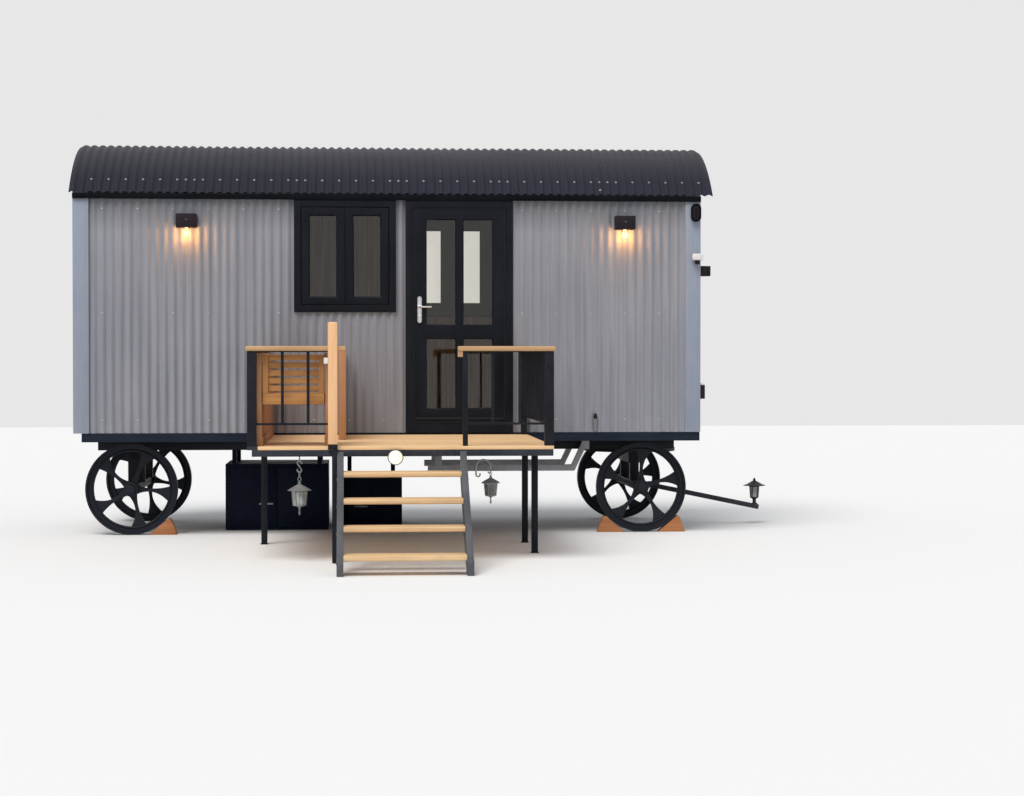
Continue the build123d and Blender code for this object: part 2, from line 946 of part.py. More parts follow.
axle_half = wheel_track / 2 - hub_length / 2 - axle_hub_gap
stub_end = wheel_track / 2 + hub_length / 2 - hub_cap_length
with BuildPart() as rear_axle:
    block(
        rear_axle_x - axle_size / 2,
        rear_axle_x + axle_size / 2,
        middle_y - axle_half,
        middle_y + axle_half,
        axle_z - axle_size / 2,
        axle_z + axle_size / 2,
    )
    rod_y(rear_axle_x, middle_y - stub_end, middle_y + stub_end, axle_z, axle_stub_radius)
    for rail_y in (rail_near_y, rail_far_y):
        block(
            rear_axle_x - bracket_length / 2,
            rear_axle_x + bracket_length / 2,
            rail_y - bracket_width / 2,
            rail_y + bracket_width / 2,
            axle_z + axle_size / 2,
            chassis_foot,
        )
finish(rear_axle, "rear_axle")

# Light steel brace, dropped below the chassis and cranked up at its lead end
brace_start = middle_x + brace_start_from_middle
brace_end = middle_x + brace_end_from_middle
brace_top = middle_x + brace_top_from_middle
brace_hanger = middle_x + brace_hanger_from_middle
brace_foot = chassis_foot - brace_drop
brace_head = brace_foot + brace_depth
rail_outer = chassis_rail_offset + chassis_width / 2
brace_inner = brace_offset - brace_width / 2
with BuildPart() as drop_braces:
    for lug_x in (brace_hanger, brace_top - brace_depth):
        for lug_y0, lug_y1 in (
            (middle_y - brace_inner, middle_y - rail_outer),
            (middle_y + rail_outer, middle_y + brace_inner),
        ):
            block(lug_x, lug_x + brace_depth, lug_y0, lug_y1, chassis_foot, sill_foot - hair)
    for brace_y in (middle_y - brace_offset, middle_y + brace_offset):
        with BuildSketch(Plane.XZ.offset(-brace_y - brace_width / 2)):
            with BuildLine():
                Polyline(
                    (brace_start, brace_foot),
                    (brace_end, brace_foot),
                    (brace_top, sill_foot - hair),
                    (brace_top - brace_depth, sill_foot - hair),
                    (brace_end - brace_depth / 2, brace_head),
                    (brace_hanger + brace_depth, brace_head),
                    (brace_hanger + brace_depth, sill_foot - hair),
                    (brace_hanger, sill_foot - hair),
                    (brace_hanger, brace_head),
                    (brace_start, brace_head),
                    close=True,
                )
            make_face()
        extrude(amount=brace_width)
finish(drop_braces, "drop_braces")


# Turntable: an upper plate and kingpin on the hut, a ring, bolster and axle on the fore carriage
drawbar_pivot_x = lead_axle_x + drawbar_pivot_from_axle
drawbar_pivot_height = axle_z - drawbar_pivot_drop
ear_inner = drawbar_width / 2 + ear_gap
turntable_foot = chassis_foot - turntable_thickness
ring_head = turntable_foot - hair
ring_foot = ring_head - turntable_thickness
bolster_foot = ring_foot - bolster_height
with BuildPart() as turntable_plate:
    rod_z(lead_axle_x, middle_y, turntable_foot, chassis_foot, turntable_radius)
    rod_z(lead_axle_x, middle_y, bolster_foot, turntable_foot, kingpin_radius)
finish(turntable_plate, "turntable_plate")

with BuildPart() as fore_carriage:
    rod_z(lead_axle_x, middle_y, ring_foot, ring_head, turntable_radius)
    rod_z(
        lead_axle_x,
        middle_y,
        ring_foot,
        ring_head,
        turntable_radius - turntable_ring_width,
        mode=Mode.SUBTRACT,
    )
    block(
        lead_axle_x - bolster_width / 2,
        lead_axle_x + bolster_width / 2,
        middle_y - bolster_reach,
        middle_y + bolster_reach,
        bolster_foot,
        ring_foot,
    )
    rod_z(
        lead_axle_x,
        middle_y,
        bolster_foot,
        ring_foot,
        kingpin_radius + running_fit,
        mode=Mode.SUBTRACT,
    )
    for post_y in (middle_y - carriage_post_offset, middle_y + carriage_post_offset):
        block(
            lead_axle_x - carriage_post / 2,
            lead_axle_x + carriage_post / 2,
            post_y - carriage_post / 2,
            post_y + carriage_post / 2,
            axle_z + axle_size / 2,
            bolster_foot,
        )
    block(
        lead_axle_x - axle_size / 2,
        lead_axle_x + axle_size / 2,
        middle_y - axle_half,
        middle_y + axle_half,
        axle_z - axle_size / 2,
        axle_z + axle_size / 2,
    )
    rod_y(lead_axle_x, middle_y - stub_end, middle_y + stub_end, axle_z, axle_stub_radius)
    for ear_y0, ear_y1 in (
        (middle_y - ear_inner - ear_thickness, middle_y - ear_inner),
        (middle_y + ear_inner, middle_y + ear_inner + ear_thickness),
    ):
        block(
            lead_axle_x + axle_size / 2,
            drawbar_pivot_x,
            ear_y0,
            ear_y1,
            drawbar_pivot_height - ear_height / 2,
            drawbar_pivot_height + ear_height / 2,
        )
        rod_y(drawbar_pivot_x, ear_y0, ear_y1, drawbar_pivot_height, ear_height / 2)
    rod_y(
        drawbar_pivot_x,
        middle_y - ear_inner,
        middle_y + ear_inner,
        drawbar_pivot_height,
        drawbar_pin_radius,
    )
finish(fore_carriage, "fore_carriage")

# Drawbar: a sloping bar with a pin hole behind and an eye in front
slope = radians(drawbar_slope)
drawbar_side = Plane(
    origin=(drawbar_pivot_x, middle_y, drawbar_pivot_height),
    x_dir=(cos(slope), 0, -sin(slope)),
    z_dir=(0, -1, 0),
)
drawbar_top = Plane(
    origin=(drawbar_pivot_x, middle_y, drawbar_pivot_height),
    x_dir=(cos(slope), 0, -sin(slope)),
    z_dir=(sin(slope), 0, cos(slope)),
)
with BuildPart() as drawbar:
    with BuildSketch(drawbar_side):
        with Locations((drawbar_length / 2, 0)):
            Rectangle(drawbar_length, drawbar_depth)
        Circle(drawbar_depth / 2)
        Circle(drawbar_pin_radius + running_fit, mode=Mode.SUBTRACT)
    extrude(amount=drawbar_width / 2, both=True)
    with BuildSketch(drawbar_top):
        with Locations((drawbar_length, 0)):
            Circle(eye_radius)
    extrude(amount=drawbar_depth / 2, both=True)
    with BuildSketch(drawbar_top):
        with Locations((drawbar_length, 0)):
            Circle(eye_bore)
    extrude(amount=drawbar_depth, both=True, mode=Mode.SUBTRACT)
finish(drawbar, "drawbar")


rim_inner = wheel_radius - rim_thickness
spoke_start = hub_radius - spoke_bite
spoke_end = rim_inner + spoke_bite
spoke_middle = (spoke_start + spoke_end) / 2
with BuildSketch(mode=Mode.PRIVATE) as spoke:
    with BuildLine():
        ThreePointArc(
            (spoke_start, -spoke_root / 2),
            (spoke_middle, spoke_bow - spoke_waist / 2),
            (spoke_end, -spoke_tip / 2),
        )
        Line((spoke_end, -spoke_tip / 2), (spoke_end, spoke_tip / 2))
        ThreePointArc(
            (spoke_end, spoke_tip / 2),
            (spoke_middle, spoke_bow + spoke_waist / 2),
            (spoke_start, spoke_root / 2),
        )
        Line((spoke_start, spoke_root / 2), (spoke_start, -spoke_root / 2))
    make_face()


def wheel(name, axle_x, side, turn):
    """Makes one cast wheel: rim, curved spokes and hub, bored for its axle. side is -1 near, +1 far."""
    wheel_y = middle_y + side * wheel_track / 2
    face = Plane(origin=(axle_x, wheel_y, axle_z), x_dir=(1, 0, 0), z_dir=(0, side, 0))
    with BuildPart() as casting:
        with BuildSketch(face):
            Circle(wheel_radius)
            Circle(rim_inner, mode=Mode.SUBTRACT)
        extrude(amount=rim_width / 2, both=True)
        with BuildSketch(face):
            with PolarLocations(0, spoke_count, start_angle=-side * turn):
                add(spoke.sketch)
        extrude(amount=spoke_depth / 2, both=True)
        with BuildSketch(face):
            Circle(hub_radius)
        extrude(amount=hub_length / 2, both=True)
        with BuildSketch(face.offset(hub_length / 2)):
            Circle(hub_cap_radius)
        extrude(amount=hub_cap_length)
        with BuildSketch(face.offset(-hub_length / 2)):
            Circle(axle_stub_radius + running_fit)
        extrude(amount=hub_length - hub_cap_length + axle_hub_gap, mode=Mode.SUBTRACT)
    finish(casting, name)


wheel("rear_wheel_near", rear_axle_x, -1, rear_wheel_turn)
wheel("rear_wheel_far", rear_axle_x, 1, rear_wheel_turn)
wheel("lead_wheel_near", lead_axle_x, -1, lead_wheel_turn)
wheel("lead_wheel_far", lead_axle_x, 1, lead_wheel_turn)

# Timber chocks, each sawn to a wedge that stops short of its wheel
near_wheel_y = middle_y - wheel_track / 2


def chock(axle_x, way):
    """Makes one wedge on the floor beside a near wheel. way is +1 to its right or -1 to its left."""
    with BuildPart(mode=Mode.PRIVATE) as wedge:
        with BuildSketch(Plane.XZ.offset(-near_wheel_y - chock_width / 2)):
            with BuildLine():
                Polyline(
                    (axle_x + way * chock_toe, 0),
                    (axle_x + way * chock_heel, 0),
                    (axle_x + way * chock_shoulder, chock_shoulder_height),
                    (axle_x + way * chock_peak_far, chock_height),
                    (axle_x + way * chock_peak_near, chock_height),
                    close=True,
                )
            make_face()
        extrude(amount=chock_width)
    return wedge.part


lead_wedges = [chock(lead_axle_x, -1), chock(lead_axle_x, 1)]
with BuildPart() as lead_chocks:
    for wedge in lead_wedges:
        add(wedge)
finish(lead_chocks, "lead_chocks")

rear_wedge = chock(rear_axle_x, 1)
with BuildPart() as rear_chock:
    add(rear_wedge)
finish(rear_chock, "rear_chock")

# Closed service boxes under the hut, each strapped up to the chassis rails above it
large_box_height = chassis_foot - large_box_headroom
small_box_height = chassis_foot - small_box_headroom
large_x0 = middle_x + large_box_left
large_y0 = rail_near_y - large_box_front_lap
large_y1 = rail_far_y + large_box_back_lap
small_x0 = middle_x + small_box_left
small_y0 = rail_far_y - small_box_front_lap
small_y1 = rail_far_y + small_box_back_lap
with BuildPart() as underfloor_boxes:
    for x0, x1, y0, y1, height, rails in (
        (
            large_x0,
            large_x0 + large_box_width,
            large_y0,
            large_y1,
            large_box_height,
            (rail_near_y, rail_far_y),
        ),
        (
            small_x0,
            small_x0 + small_box_width,
            small_y0,
            small_y1,
            small_box_height,
            (rail_far_y,),
        ),
    ):
        block(x0, x1, y0, y1, 0, height)
        for strap_x in (x0 + box_strap_inset, x1 - box_strap_inset - box_strap):
            for rail_y in rails:
                strap_y0 = max(y0, rail_y - box_strap / 2)
                block(strap_x, strap_x + box_strap, strap_y0, rail_y + box_strap / 2, height, chassis_foot)
finish(underfloor_boxes, "underfloor_boxes")


# Deck: steel frame, legs and a layer of boards
with BuildPart() as deck_frame:
    block(steel_left, steel_right, deck_front, steel_back, deck_steel_foot, board_foot)
    block(
        steel_left + deck_steel,
        steel_right - deck_right_beam,
        deck_front + deck_steel,
        steel_back - deck_steel,
        deck_steel_foot,
        board_foot,
        mode=Mode.SUBTRACT,
    )
    joist_gap = (steel_back - deck_front) / (deck_joist_count + 1)
    for index in range(deck_joist_count):
        joist_y = deck_front + joist_gap * (index + 1)
        block(
            steel_left,
            steel_right,
            joist_y - deck_steel / 2,
            joist_y + deck_steel / 2,
            deck_steel_foot,
            board_foot,
        )
    fixing_gap = (steel_right - steel_left) / (deck_fixing_count + 1)
    for index in range(deck_fixing_count):
        fixing_x = steel_left + fixing_gap * (index + 1)
        block(
            fixing_x - deck_fixing_width / 2,
            fixing_x + deck_fixing_width / 2,
            steel_back,
            front + sill_inset,
            sill_foot,
            board_foot,
        )
finish(deck_frame, "deck_frame")

with BuildPart() as deck_legs:
    left_leg_x = steel_left + deck_steel / 2
    right_leg_x = steel_right - deck_right_beam + deck_steel / 2
    for leg_x, leg_back in (
        (left_leg_x, deck_leg_rear),
        (right_leg_x, deck_leg_rear),
        (right_leg_x, deck_leg_front),
    ):
        block(
            leg_x - deck_steel / 2,
            leg_x + deck_steel / 2,
            front - leg_back - deck_steel / 2,
            front - leg_back + deck_steel / 2,
            0,
            deck_steel_foot,
        )
finish(deck_legs, "deck_legs")

with BuildPart() as deck_boards:
    block(deck_left, deck_right, deck_front, deck_back, board_foot, deck_top)
finish(deck_boards, "deck_boards")


# Balustrades: posts, balusters, a bottom rail and a flat top bar
def upright_bars(xs, ys, z0, z1, size):
    """Adds square uprights at each listed place."""
    for bar_x in xs:
        for bar_y in ys:
            block(bar_x - size / 2, bar_x + size / 2, bar_y - size / 2, bar_y + size / 2, z0, z1)


left_post_x = deck_left + corner_post / 2
right_post_x = deck_right - corner_post / 2
left_slim_x = middle_x + left_slim_post_from_middle
right_slim_x = middle_x + right_slim_post_from_middle
slim_y = deck_front + slim_post / 2
wall_post_y = deck_back - wall_post / 2


def panel_rails(x0, x1, y0, y1):
    """Adds the thin bottom rail and the flat top bar of one panel."""
    block(x0, x1, y0, y1, bottom_rail_foot, bottom_rail_foot + bottom_rail)
    block(x0, x1, y0, y1, top_flat_foot, handrail_foot)


with BuildPart() as front_balustrades:
    for post_x, slim_x, places in (
        (left_post_x, left_slim_x, left_balusters_from_middle),
        (right_post_x, right_slim_x, right_balusters_from_middle),
    ):
        low = min(post_x, slim_x)
        high = max(post_x, slim_x)
        upright_bars((post_x,), (rail_plane_y,), deck_top, handrail_foot, corner_post)
        upright_bars((slim_x,), (slim_y,), deck_top, handrail_foot, slim_post)
        bars = [middle_x + place for place in places]
        upright_bars(bars, (slim_y,), bottom_rail_foot, handrail_foot, baluster)
        panel_rails(low, high, slim_y - baluster / 2, slim_y + baluster / 2)
finish(front_balustrades, "front_balustrades")

side_start_y = rail_plane_y + corner_post / 2
side_end_y = wall_post_y - wall_post / 2
side_gaps = round((side_end_y - side_start_y) / side_pitch)
with BuildPart() as side_balustrades:
    pitch = (side_end_y - side_start_y) / side_gaps
    bars = [side_start_y + pitch * index for index in range(1, side_gaps)]
    for post_x in (left_post_x, right_post_x):
        upright_bars((post_x,), (wall_post_y,), deck_top, handrail_foot, wall_post)
        upright_bars((post_x,), bars, bottom_rail_foot, handrail_foot, baluster)
        panel_rails(post_x - baluster / 2, post_x + baluster / 2, side_start_y, side_end_y)
finish(side_balustrades, "side_balustrades")

handrail_front = rail_plane_y - handrail_width / 2
handrail_back = rail_plane_y + handrail_width / 2
left_handrail_x0 = left_post_x - handrail_width / 2
right_handrail_x1 = right_post_x + handrail_width / 2
with BuildPart() as handrails:
    left_handrail_x1 = middle_x + left_handrail_end_from_middle
    right_handrail_x0 = middle_x + right_handrail_start_from_middle
    block(left_handrail_x0, left_handrail_x1, handrail_front, handrail_back, handrail_foot, handrail_top)
    block(right_handrail_x0, right_handrail_x1, handrail_front, handrail_back, handrail_foot, handrail_top)
    for rail_x0 in (left_handrail_x0, right_handrail_x1 - handrail_width):
        rail_x1 = rail_x0 + handrail_width
        block(rail_x0, rail_x1, handrail_back, deck_back, handrail_foot, handrail_top)
    block(
        right_handrail_x0,
        right_slim_x - slim_post / 2,
        deck_front,
        deck_front + slim_post,
        handrail_foot - latch_block_drop,
        handrail_foot,
    )
finish(handrails, "handrails")

# Tall timber marker that stands against the front of the rail and the slim post
marker_x1 = left_slim_x + slim_post / 2 + frame_clearance
marker_x0 = marker_x1 - marker_width
marker_top = deck_top + marker_rise
with BuildPart() as marker_post:
    marker_face = handrail_front - marker_thickness
    marker_foot = board_foot + frame_clearance
    block(marker_x0, marker_x1, marker_face, handrail_front, marker_foot, marker_top)
    block(marker_x0, marker_x1, handrail_front, deck_front, marker_foot, deck_top)
finish(marker_post, "marker_post")

# Seat: lining, right side, end screen, slatted back on the rail's side, and the seat behind it
lining_x0 = left_post_x + corner_post / 2
lining_x1 = lining_x0 + lining_thickness
side_x0 = middle_x + seat_side_from_middle
side_x1 = side_x0 + seat_side_thickness
screen_x0 = middle_x + seat_screen_from_middle
screen_x1 = screen_x0 + seat_screen_thickness
seat_top = deck_top + seat_rise
seat_slat_foot = seat_top + seat_slat_lift
panel_back_y = front - seat_wall_gap
stile_face_y = handrail_back + frame_clearance
slat_face_y = stile_face_y + seat_stile_thickness
slat_back_y = slat_face_y + seat_slat_thickness
seat_apron_y = slat_back_y + seat_depth
seat_end_y = seat_apron_y + seat_apron_thickness
panel_head = top_flat_foot - moving_gap
with BuildPart() as seat_panels:
    block(lining_x0, lining_x1, handrail_back, panel_back_y, deck_top, panel_head)
    block(side_x0, side_x1, handrail_back, seat_end_y, deck_top, panel_head)
    block(
        screen_x0,
        screen_x1,
        front - seat_screen_reach,
        panel_back_y,
        deck_top,
        deck_top + seat_screen_tall,
    )
finish(seat_panels, "seat_panels")

slats_head = seat_slat_foot + seat_slat_pitch * (seat_slat_count - 1) + seat_slat_height
with BuildPart() as seat:
    for index in range(seat_slat_count):
        slat_foot = seat_slat_foot + seat_slat_pitch * index
        block(lining_x1, side_x0, slat_face_y, slat_back_y, slat_foot, slat_foot + seat_slat_height)
    for stile_x in (lining_x1, side_x0 - seat_stile_width):
        stile_x1 = stile_x + seat_stile_width
        block(stile_x, stile_x1, stile_face_y, slat_face_y, seat_top, slats_head)
    block(lining_x1, side_x0, stile_face_y, slat_back_y, seat_top - seat_rail, seat_top)
    block(lining_x1, side_x0, slat_back_y, seat_apron_y, seat_top - seat_board, seat_top)
    block(lining_x1, side_x0, seat_apron_y, seat_end_y, seat_top - seat_rail, seat_top)
finish(seat, "seat")


# Stair: two steel stringers and four timber treads, with one leg under the deck edge
stair_left = middle_x + stair_left_from_middle
stair_right = middle_x + stair_right_from_middle
pitch_drop = rise / going
stair_foot_y = deck_front - stair_reach
stringer_head = deck_top - stringer_drop
with BuildPart() as stair_stringers:
    toe_run = (stringer_head - stringer_depth) / pitch_drop
    for stringer_x in (stair_left, stair_right - stringer_width):
        with BuildSketch(Plane.YZ.offset(stringer_x)):
            with BuildLine():
                Polyline(
                    (deck_front, stringer_head),
                    (stair_foot_y, stringer_head - pitch_drop * stair_reach),
                    (stair_foot_y, 0),
                    (deck_front - toe_run, 0),
                    (deck_front, stringer_head - stringer_depth),
                    close=True,
                )
            make_face()
        extrude(amount=stringer_width)
    block(stair_left - stair_leg, stair_left, deck_front - stair_leg, deck_front, 0, board_foot)
finish(stair_stringers, "stair_stringers")

with BuildPart() as stair_treads:
    for step in range(1, tread_count + 1):
        nosing_y = deck_front - going * step
        tread_top = deck_top - rise * step
        block(
            stair_left + stringer_width,
            stair_right - stringer_width,
            nosing_y,
            nosing_y + tread_depth,
            tread_top - tread_thickness,
            tread_top,
        )
finish(stair_treads, "stair_treads")


def lantern_pane_loft(x, y, z0, radius0, z1, radius1):
    """Makes one six-sided tapered block of a lantern, apart from the part in hand."""
    with BuildPart(mode=Mode.PRIVATE) as taper:
        with BuildSketch(Plane(origin=(x, y, z0))):
            RegularPolygon(radius0, lantern_sides)
        with BuildSketch(Plane(origin=(x, y, z1))):
            RegularPolygon(radius1, lantern_sides)
        loft()
    return taper.part


def lantern_blocks(x, y, cap_top, radius):
    """Makes a lantern's peaked cap and its body, which narrows to the foot."""
    cap_foot = cap_top - lantern_cap_height
    body_foot = cap_foot - lantern_body_height
    share = radius / lantern_radius
    cap = lantern_pane_loft(x, y, cap_foot, radius, cap_top, lantern_neck_radius)
    body = lantern_pane_loft(x, y, body_foot, lantern_body_foot * share, cap_foot, lantern_body_top * share)
    return cap, body


deck_lantern_x = middle_x + deck_lantern_from_middle
deck_lantern_y = deck_front + deck_steel / 2
brace_lantern_x = middle_x + brace_lantern_from_middle
brace_face_y = middle_y - brace_offset - brace_width / 2
brace_lantern_y = brace_face_y - lantern_radius - brace_lantern_standoff
lantern_drop = lantern_cap_height + lantern_body_height
deck_lantern_cap_top = deck_steel_foot - deck_lantern_drop
brace_lantern_cap_top = brace_head - brace_lantern_drop
deck_lantern_blocks = lantern_blocks(deck_lantern_x, deck_lantern_y, deck_lantern_cap_top, lantern_radius)
small_blocks = lantern_blocks(brace_lantern_x, brace_lantern_y, brace_lantern_cap_top, brace_lantern_radius)
with BuildPart() as hanging_lanterns:
    add(deck_lantern_blocks)
    add(small_blocks)
    for x, y, cap_top, stem_top in (
        (deck_lantern_x, deck_lantern_y, deck_lantern_cap_top, deck_steel_foot),
        (brace_lantern_x, brace_lantern_y, brace_lantern_cap_top, brace_head),
    ):
        rod_z(x, y, cap_top - lantern_neck, cap_top + lantern_neck, lantern_neck_radius)
        rod_z(x, y, cap_top, stem_top, lantern_hanger_radius)
        rod_z(x, y, cap_top - lantern_drop - lantern_finial, cap_top - lantern_drop, lantern_finial_radius)
    arm_z = brace_head - lantern_hanger_radius
    rod_y(brace_lantern_x, brace_lantern_y, brace_face_y, arm_z, lantern_hanger_radius)
finish(hanging_lanterns, "hanging_lanterns")

# Lantern that stands on the drawbar
drawbar_lantern_x = middle_x + drawbar_lantern_from_middle
bar_run = (drawbar_lantern_x - drawbar_pivot_x) / cos(slope)
drawbar_surface = drawbar_pivot_height - bar_run * sin(slope) + drawbar_depth / 2 / cos(slope)
stem_foot = drawbar_surface + drawbar_lantern_plate / 2
drawbar_lantern_cap_top = drawbar_surface + drawbar_lantern_rise
drawbar_lantern_blocks = lantern_blocks(
    drawbar_lantern_x, middle_y, drawbar_lantern_cap_top, drawbar_lantern_radius
)
with BuildPart() as drawbar_lantern:
    add(drawbar_lantern_blocks)
    cap_top = drawbar_lantern_cap_top
    rod_z(drawbar_lantern_x, middle_y, cap_top - lantern_neck, cap_top + lantern_neck, lantern_neck_radius)
    rod_z(drawbar_lantern_x, middle_y, stem_foot, cap_top - lantern_drop, drawbar_lantern_stem)
    with BuildSketch(drawbar_top.offset(drawbar_depth / 2)):
        with Locations((bar_run, 0)):
            Circle(drawbar_lantern_foot)
    extrude(amount=drawbar_lantern_plate)
finish(drawbar_lantern, "drawbar_lantern")

# Round light below the deck edge
with BuildPart() as step_light:
    rod_y(
        middle_x + step_light_from_middle,
        deck_front - step_light_depth,
        deck_front,
        deck_top - step_light_drop,
        step_light_radius,
    )
finish(step_light, "step_light")
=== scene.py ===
# %% [markdown]
# # A shepherds hut on iron wheels
# The hut is a timber cabin with a barrel roof, a raised deck with a built-in seat, and four cast wheels.
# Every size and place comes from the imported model, so a new piece is laid on the box of the part that it
# dresses. This lesson goes over the hut from the sheet on its walls down to the chocks at its wheels.

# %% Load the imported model
import math
import random

import bmesh
import bpy
from mathutils import Matrix, Vector


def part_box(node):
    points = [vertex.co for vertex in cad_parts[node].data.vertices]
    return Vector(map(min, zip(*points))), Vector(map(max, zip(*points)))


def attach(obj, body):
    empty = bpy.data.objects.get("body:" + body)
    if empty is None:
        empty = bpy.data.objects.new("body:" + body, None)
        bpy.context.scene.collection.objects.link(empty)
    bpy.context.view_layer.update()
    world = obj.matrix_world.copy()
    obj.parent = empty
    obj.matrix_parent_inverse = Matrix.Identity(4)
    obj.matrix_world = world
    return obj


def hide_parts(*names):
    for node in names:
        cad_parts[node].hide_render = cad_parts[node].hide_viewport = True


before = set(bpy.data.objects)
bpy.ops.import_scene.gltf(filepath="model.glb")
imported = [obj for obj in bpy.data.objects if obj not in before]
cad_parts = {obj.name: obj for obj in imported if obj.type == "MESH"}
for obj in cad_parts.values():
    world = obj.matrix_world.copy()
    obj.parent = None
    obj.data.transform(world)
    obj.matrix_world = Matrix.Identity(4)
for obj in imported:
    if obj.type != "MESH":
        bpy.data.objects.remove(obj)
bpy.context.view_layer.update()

# %% [markdown]
# ## Where things are
# It is easier to speak of a hut from the middle of its front wall than from the middle of the whole outline.
# X runs right from the hut's middle, Y runs back from its front face and Z is the height over the ground.
# `at` turns such a place into one in the shared frame.

# %% Places counted from the hut
wall_low, wall_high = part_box("corner_boards")
HUT_MIDDLE = (wall_low.x + wall_high.x) / 2
HUT_FRONT = wall_low.y
HUT_HALF = (wall_high.x - wall_low.x) / 2
HUT_DEEP = wall_high.y - wall_low.y
WALL_FOOT = wall_low.z


def at(x, y, z):
    """A place in the shared frame, from one counted from the middle of the hut's front."""
    return Vector((HUT_MIDDLE + x, HUT_FRONT + y, z))


print("hut", round(HUT_HALF * 2, 3), "by", round(HUT_DEEP, 3), "walls from", round(WALL_FOOT, 3))

# %% [markdown]
# ## The camera
# The photograph was taken from about 18 metres in front of the deck's edge, at eye height and with a long
# lens, a little to the left of the hut and turned slightly to the right. The same place, turn and lens make
# each edge land where it is in the photograph.

# %% Camera
bpy.ops.object.camera_add(
    location=(-0.7218, -17.6365, 1.5565),
    rotation=(math.radians(90 - 1.0875), 0, -math.radians(4.4064)),
)
camera = bpy.context.object
camera.data.sensor_width = 36
camera.data.sensor_fit = "HORIZONTAL"
camera.data.lens = 72.99
bpy.context.scene.camera = camera
print("lens", camera.data.lens)

# %% [markdown]
# ## Light and floor
# A product picture wants soft light that shows each colour as it is. The world gives half of it from all
# sides, and one wide soft sun from the upper left gives the other half and a direction. Rays that go straight
# to the camera, or come off glass and metal, meet a pale world, so the background is pale.

# %% World and sun
world = bpy.data.worlds.new("studio")
world.use_nodes = True
bpy.context.scene.world = world
world_nodes = world.node_tree.nodes
world_links = world.node_tree.links
soft = world_nodes["Background"]
soft.inputs["Color"].default_value = (0.93, 0.96, 1.0, 1)
soft.inputs["Strength"].default_value = 0.5
backdrop = world_nodes.new("ShaderNodeBackground")
backdrop.inputs["Strength"].default_value = 1.0
path = world_nodes.new("ShaderNodeLightPath")
seen = world_nodes.new("ShaderNodeMath")
seen.operation = "MAXIMUM"
world_links.new(path.outputs["Is Camera Ray"], seen.inputs[0])
world_links.new(path.outputs["Is Glossy Ray"], seen.inputs[1])
seen_through = world_nodes.new("ShaderNodeMath")
seen_through.operation = "MAXIMUM"
world_links.new(seen.outputs[0], seen_through.inputs[0])
world_links.new(path.outputs["Is Transmission Ray"], seen_through.inputs[1])
either = world_nodes.new("ShaderNodeMixShader")
world_links.new(seen_through.outputs[0], either.inputs[0])
world_links.new(soft.outputs[0], either.inputs[1])
world_links.new(backdrop.outputs[0], either.inputs[2])
world_links.new(either.outputs[0], world_nodes["World Output"].inputs["Surface"])

bpy.ops.object.light_add(type="SUN", rotation=(math.radians(32), 0, math.radians(-28)))
sun = bpy.context.object
sun.data.energy = 2.3
sun.data.angle = math.radians(35)
sun.data.color = (1.0, 0.98, 0.95)

bpy.context.scene.view_settings.view_transform = "Standard"
print("sun", sun.data.energy)

# %% Studio floor
floor_spread = 60
bpy.ops.object.select_all(action="DESELECT")
bpy.ops.mesh.primitive_plane_add(size=floor_spread, location=(0, 0, -0.001))
floor = bpy.context.object
floor.name = "studio_floor"
bpy.ops.object.mode_set(mode="EDIT")
bpy.ops.mesh.subdivide(number_cuts=1)
bpy.ops.object.mode_set(mode="OBJECT")
print("floor", floor_spread)

# %% [markdown]
# ## A small kit for modelling
# An operator works on whatever is selected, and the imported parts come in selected. So each step starts by
# letting go of everything, and faces, edges and points are picked by a test of their place. `bar` makes one
# squared length with eased edges, because no sawn board or rolled section has a perfectly sharp edge, and the
# eased edge is what catches the light.

# %% Let go, take and edit
def let_go():
    """Leaves edit mode and deselects everything."""
    if bpy.context.object and bpy.context.object.mode != "OBJECT":
        bpy.ops.object.mode_set(mode="OBJECT")
    bpy.ops.object.select_all(action="DESELECT")


def take(piece):
    """Selects one piece alone."""
    let_go()
    piece.select_set(True)
    bpy.context.view_layer.objects.active = piece


def edit(piece):
    """Opens one piece in edit mode with all of it selected."""
    take(piece)
    bpy.ops.object.mode_set(mode="EDIT")
    bpy.ops.mesh.select_mode(type="VERT")
    bpy.ops.mesh.select_all(action="SELECT")


def pick(piece, test, kind="FACE"):
    """In edit mode, selects the faces, edges or points that pass a test of their middle."""
    bpy.ops.mesh.select_mode(type=kind)
    bpy.ops.mesh.select_all(action="DESELECT")
    mesh = bmesh.from_edit_mesh(piece.data)
    if kind == "FACE":
        for face in mesh.faces:
            face.select_set(bool(test(face.calc_center_median(), face.normal)))
    elif kind == "EDGE":
        for side in mesh.edges:
            side.select_set(bool(test((side.verts[0].co + side.verts[1].co) / 2, side.is_boundary)))
    else:
        for point in mesh.verts:
            point.select_set(bool(test(point.co, point.normal)))
    mesh.select_flush(True)
    bmesh.update_edit_mesh(piece.data)


print("let_go, take, edit and pick are ready")

# %% Settle, push and face out
def settle():
    """Puts the place, turn and scale of the selected piece into its mesh."""
    bpy.ops.object.transform_apply(location=True, rotation=True, scale=True)
    return bpy.context.object


def push(move):
    """Extrudes what is selected and moves it."""
    bpy.ops.mesh.extrude_region_move(TRANSFORM_OT_translate={"value": move})


def face_out():
    """Turns every face outward and leaves edit mode."""
    bpy.ops.mesh.select_all(action="SELECT")
    bpy.ops.mesh.normals_make_consistent(inside=False)
    let_go()


print("settle, push and face_out are ready")

# %% Bars, copies and moves
def bar(low, high, ease=0.002, rounds=2):
    """A squared length between two corners, with eased edges."""
    low, high = Vector(low), Vector(high)
    let_go()
    bpy.ops.mesh.primitive_cube_add(size=1, location=(low + high) / 2, scale=tuple(high - low))
    piece = settle()
    if ease:
        edit(piece)
        bpy.ops.mesh.bevel(offset=ease, segments=rounds, affect="EDGES")
        let_go()
    return piece


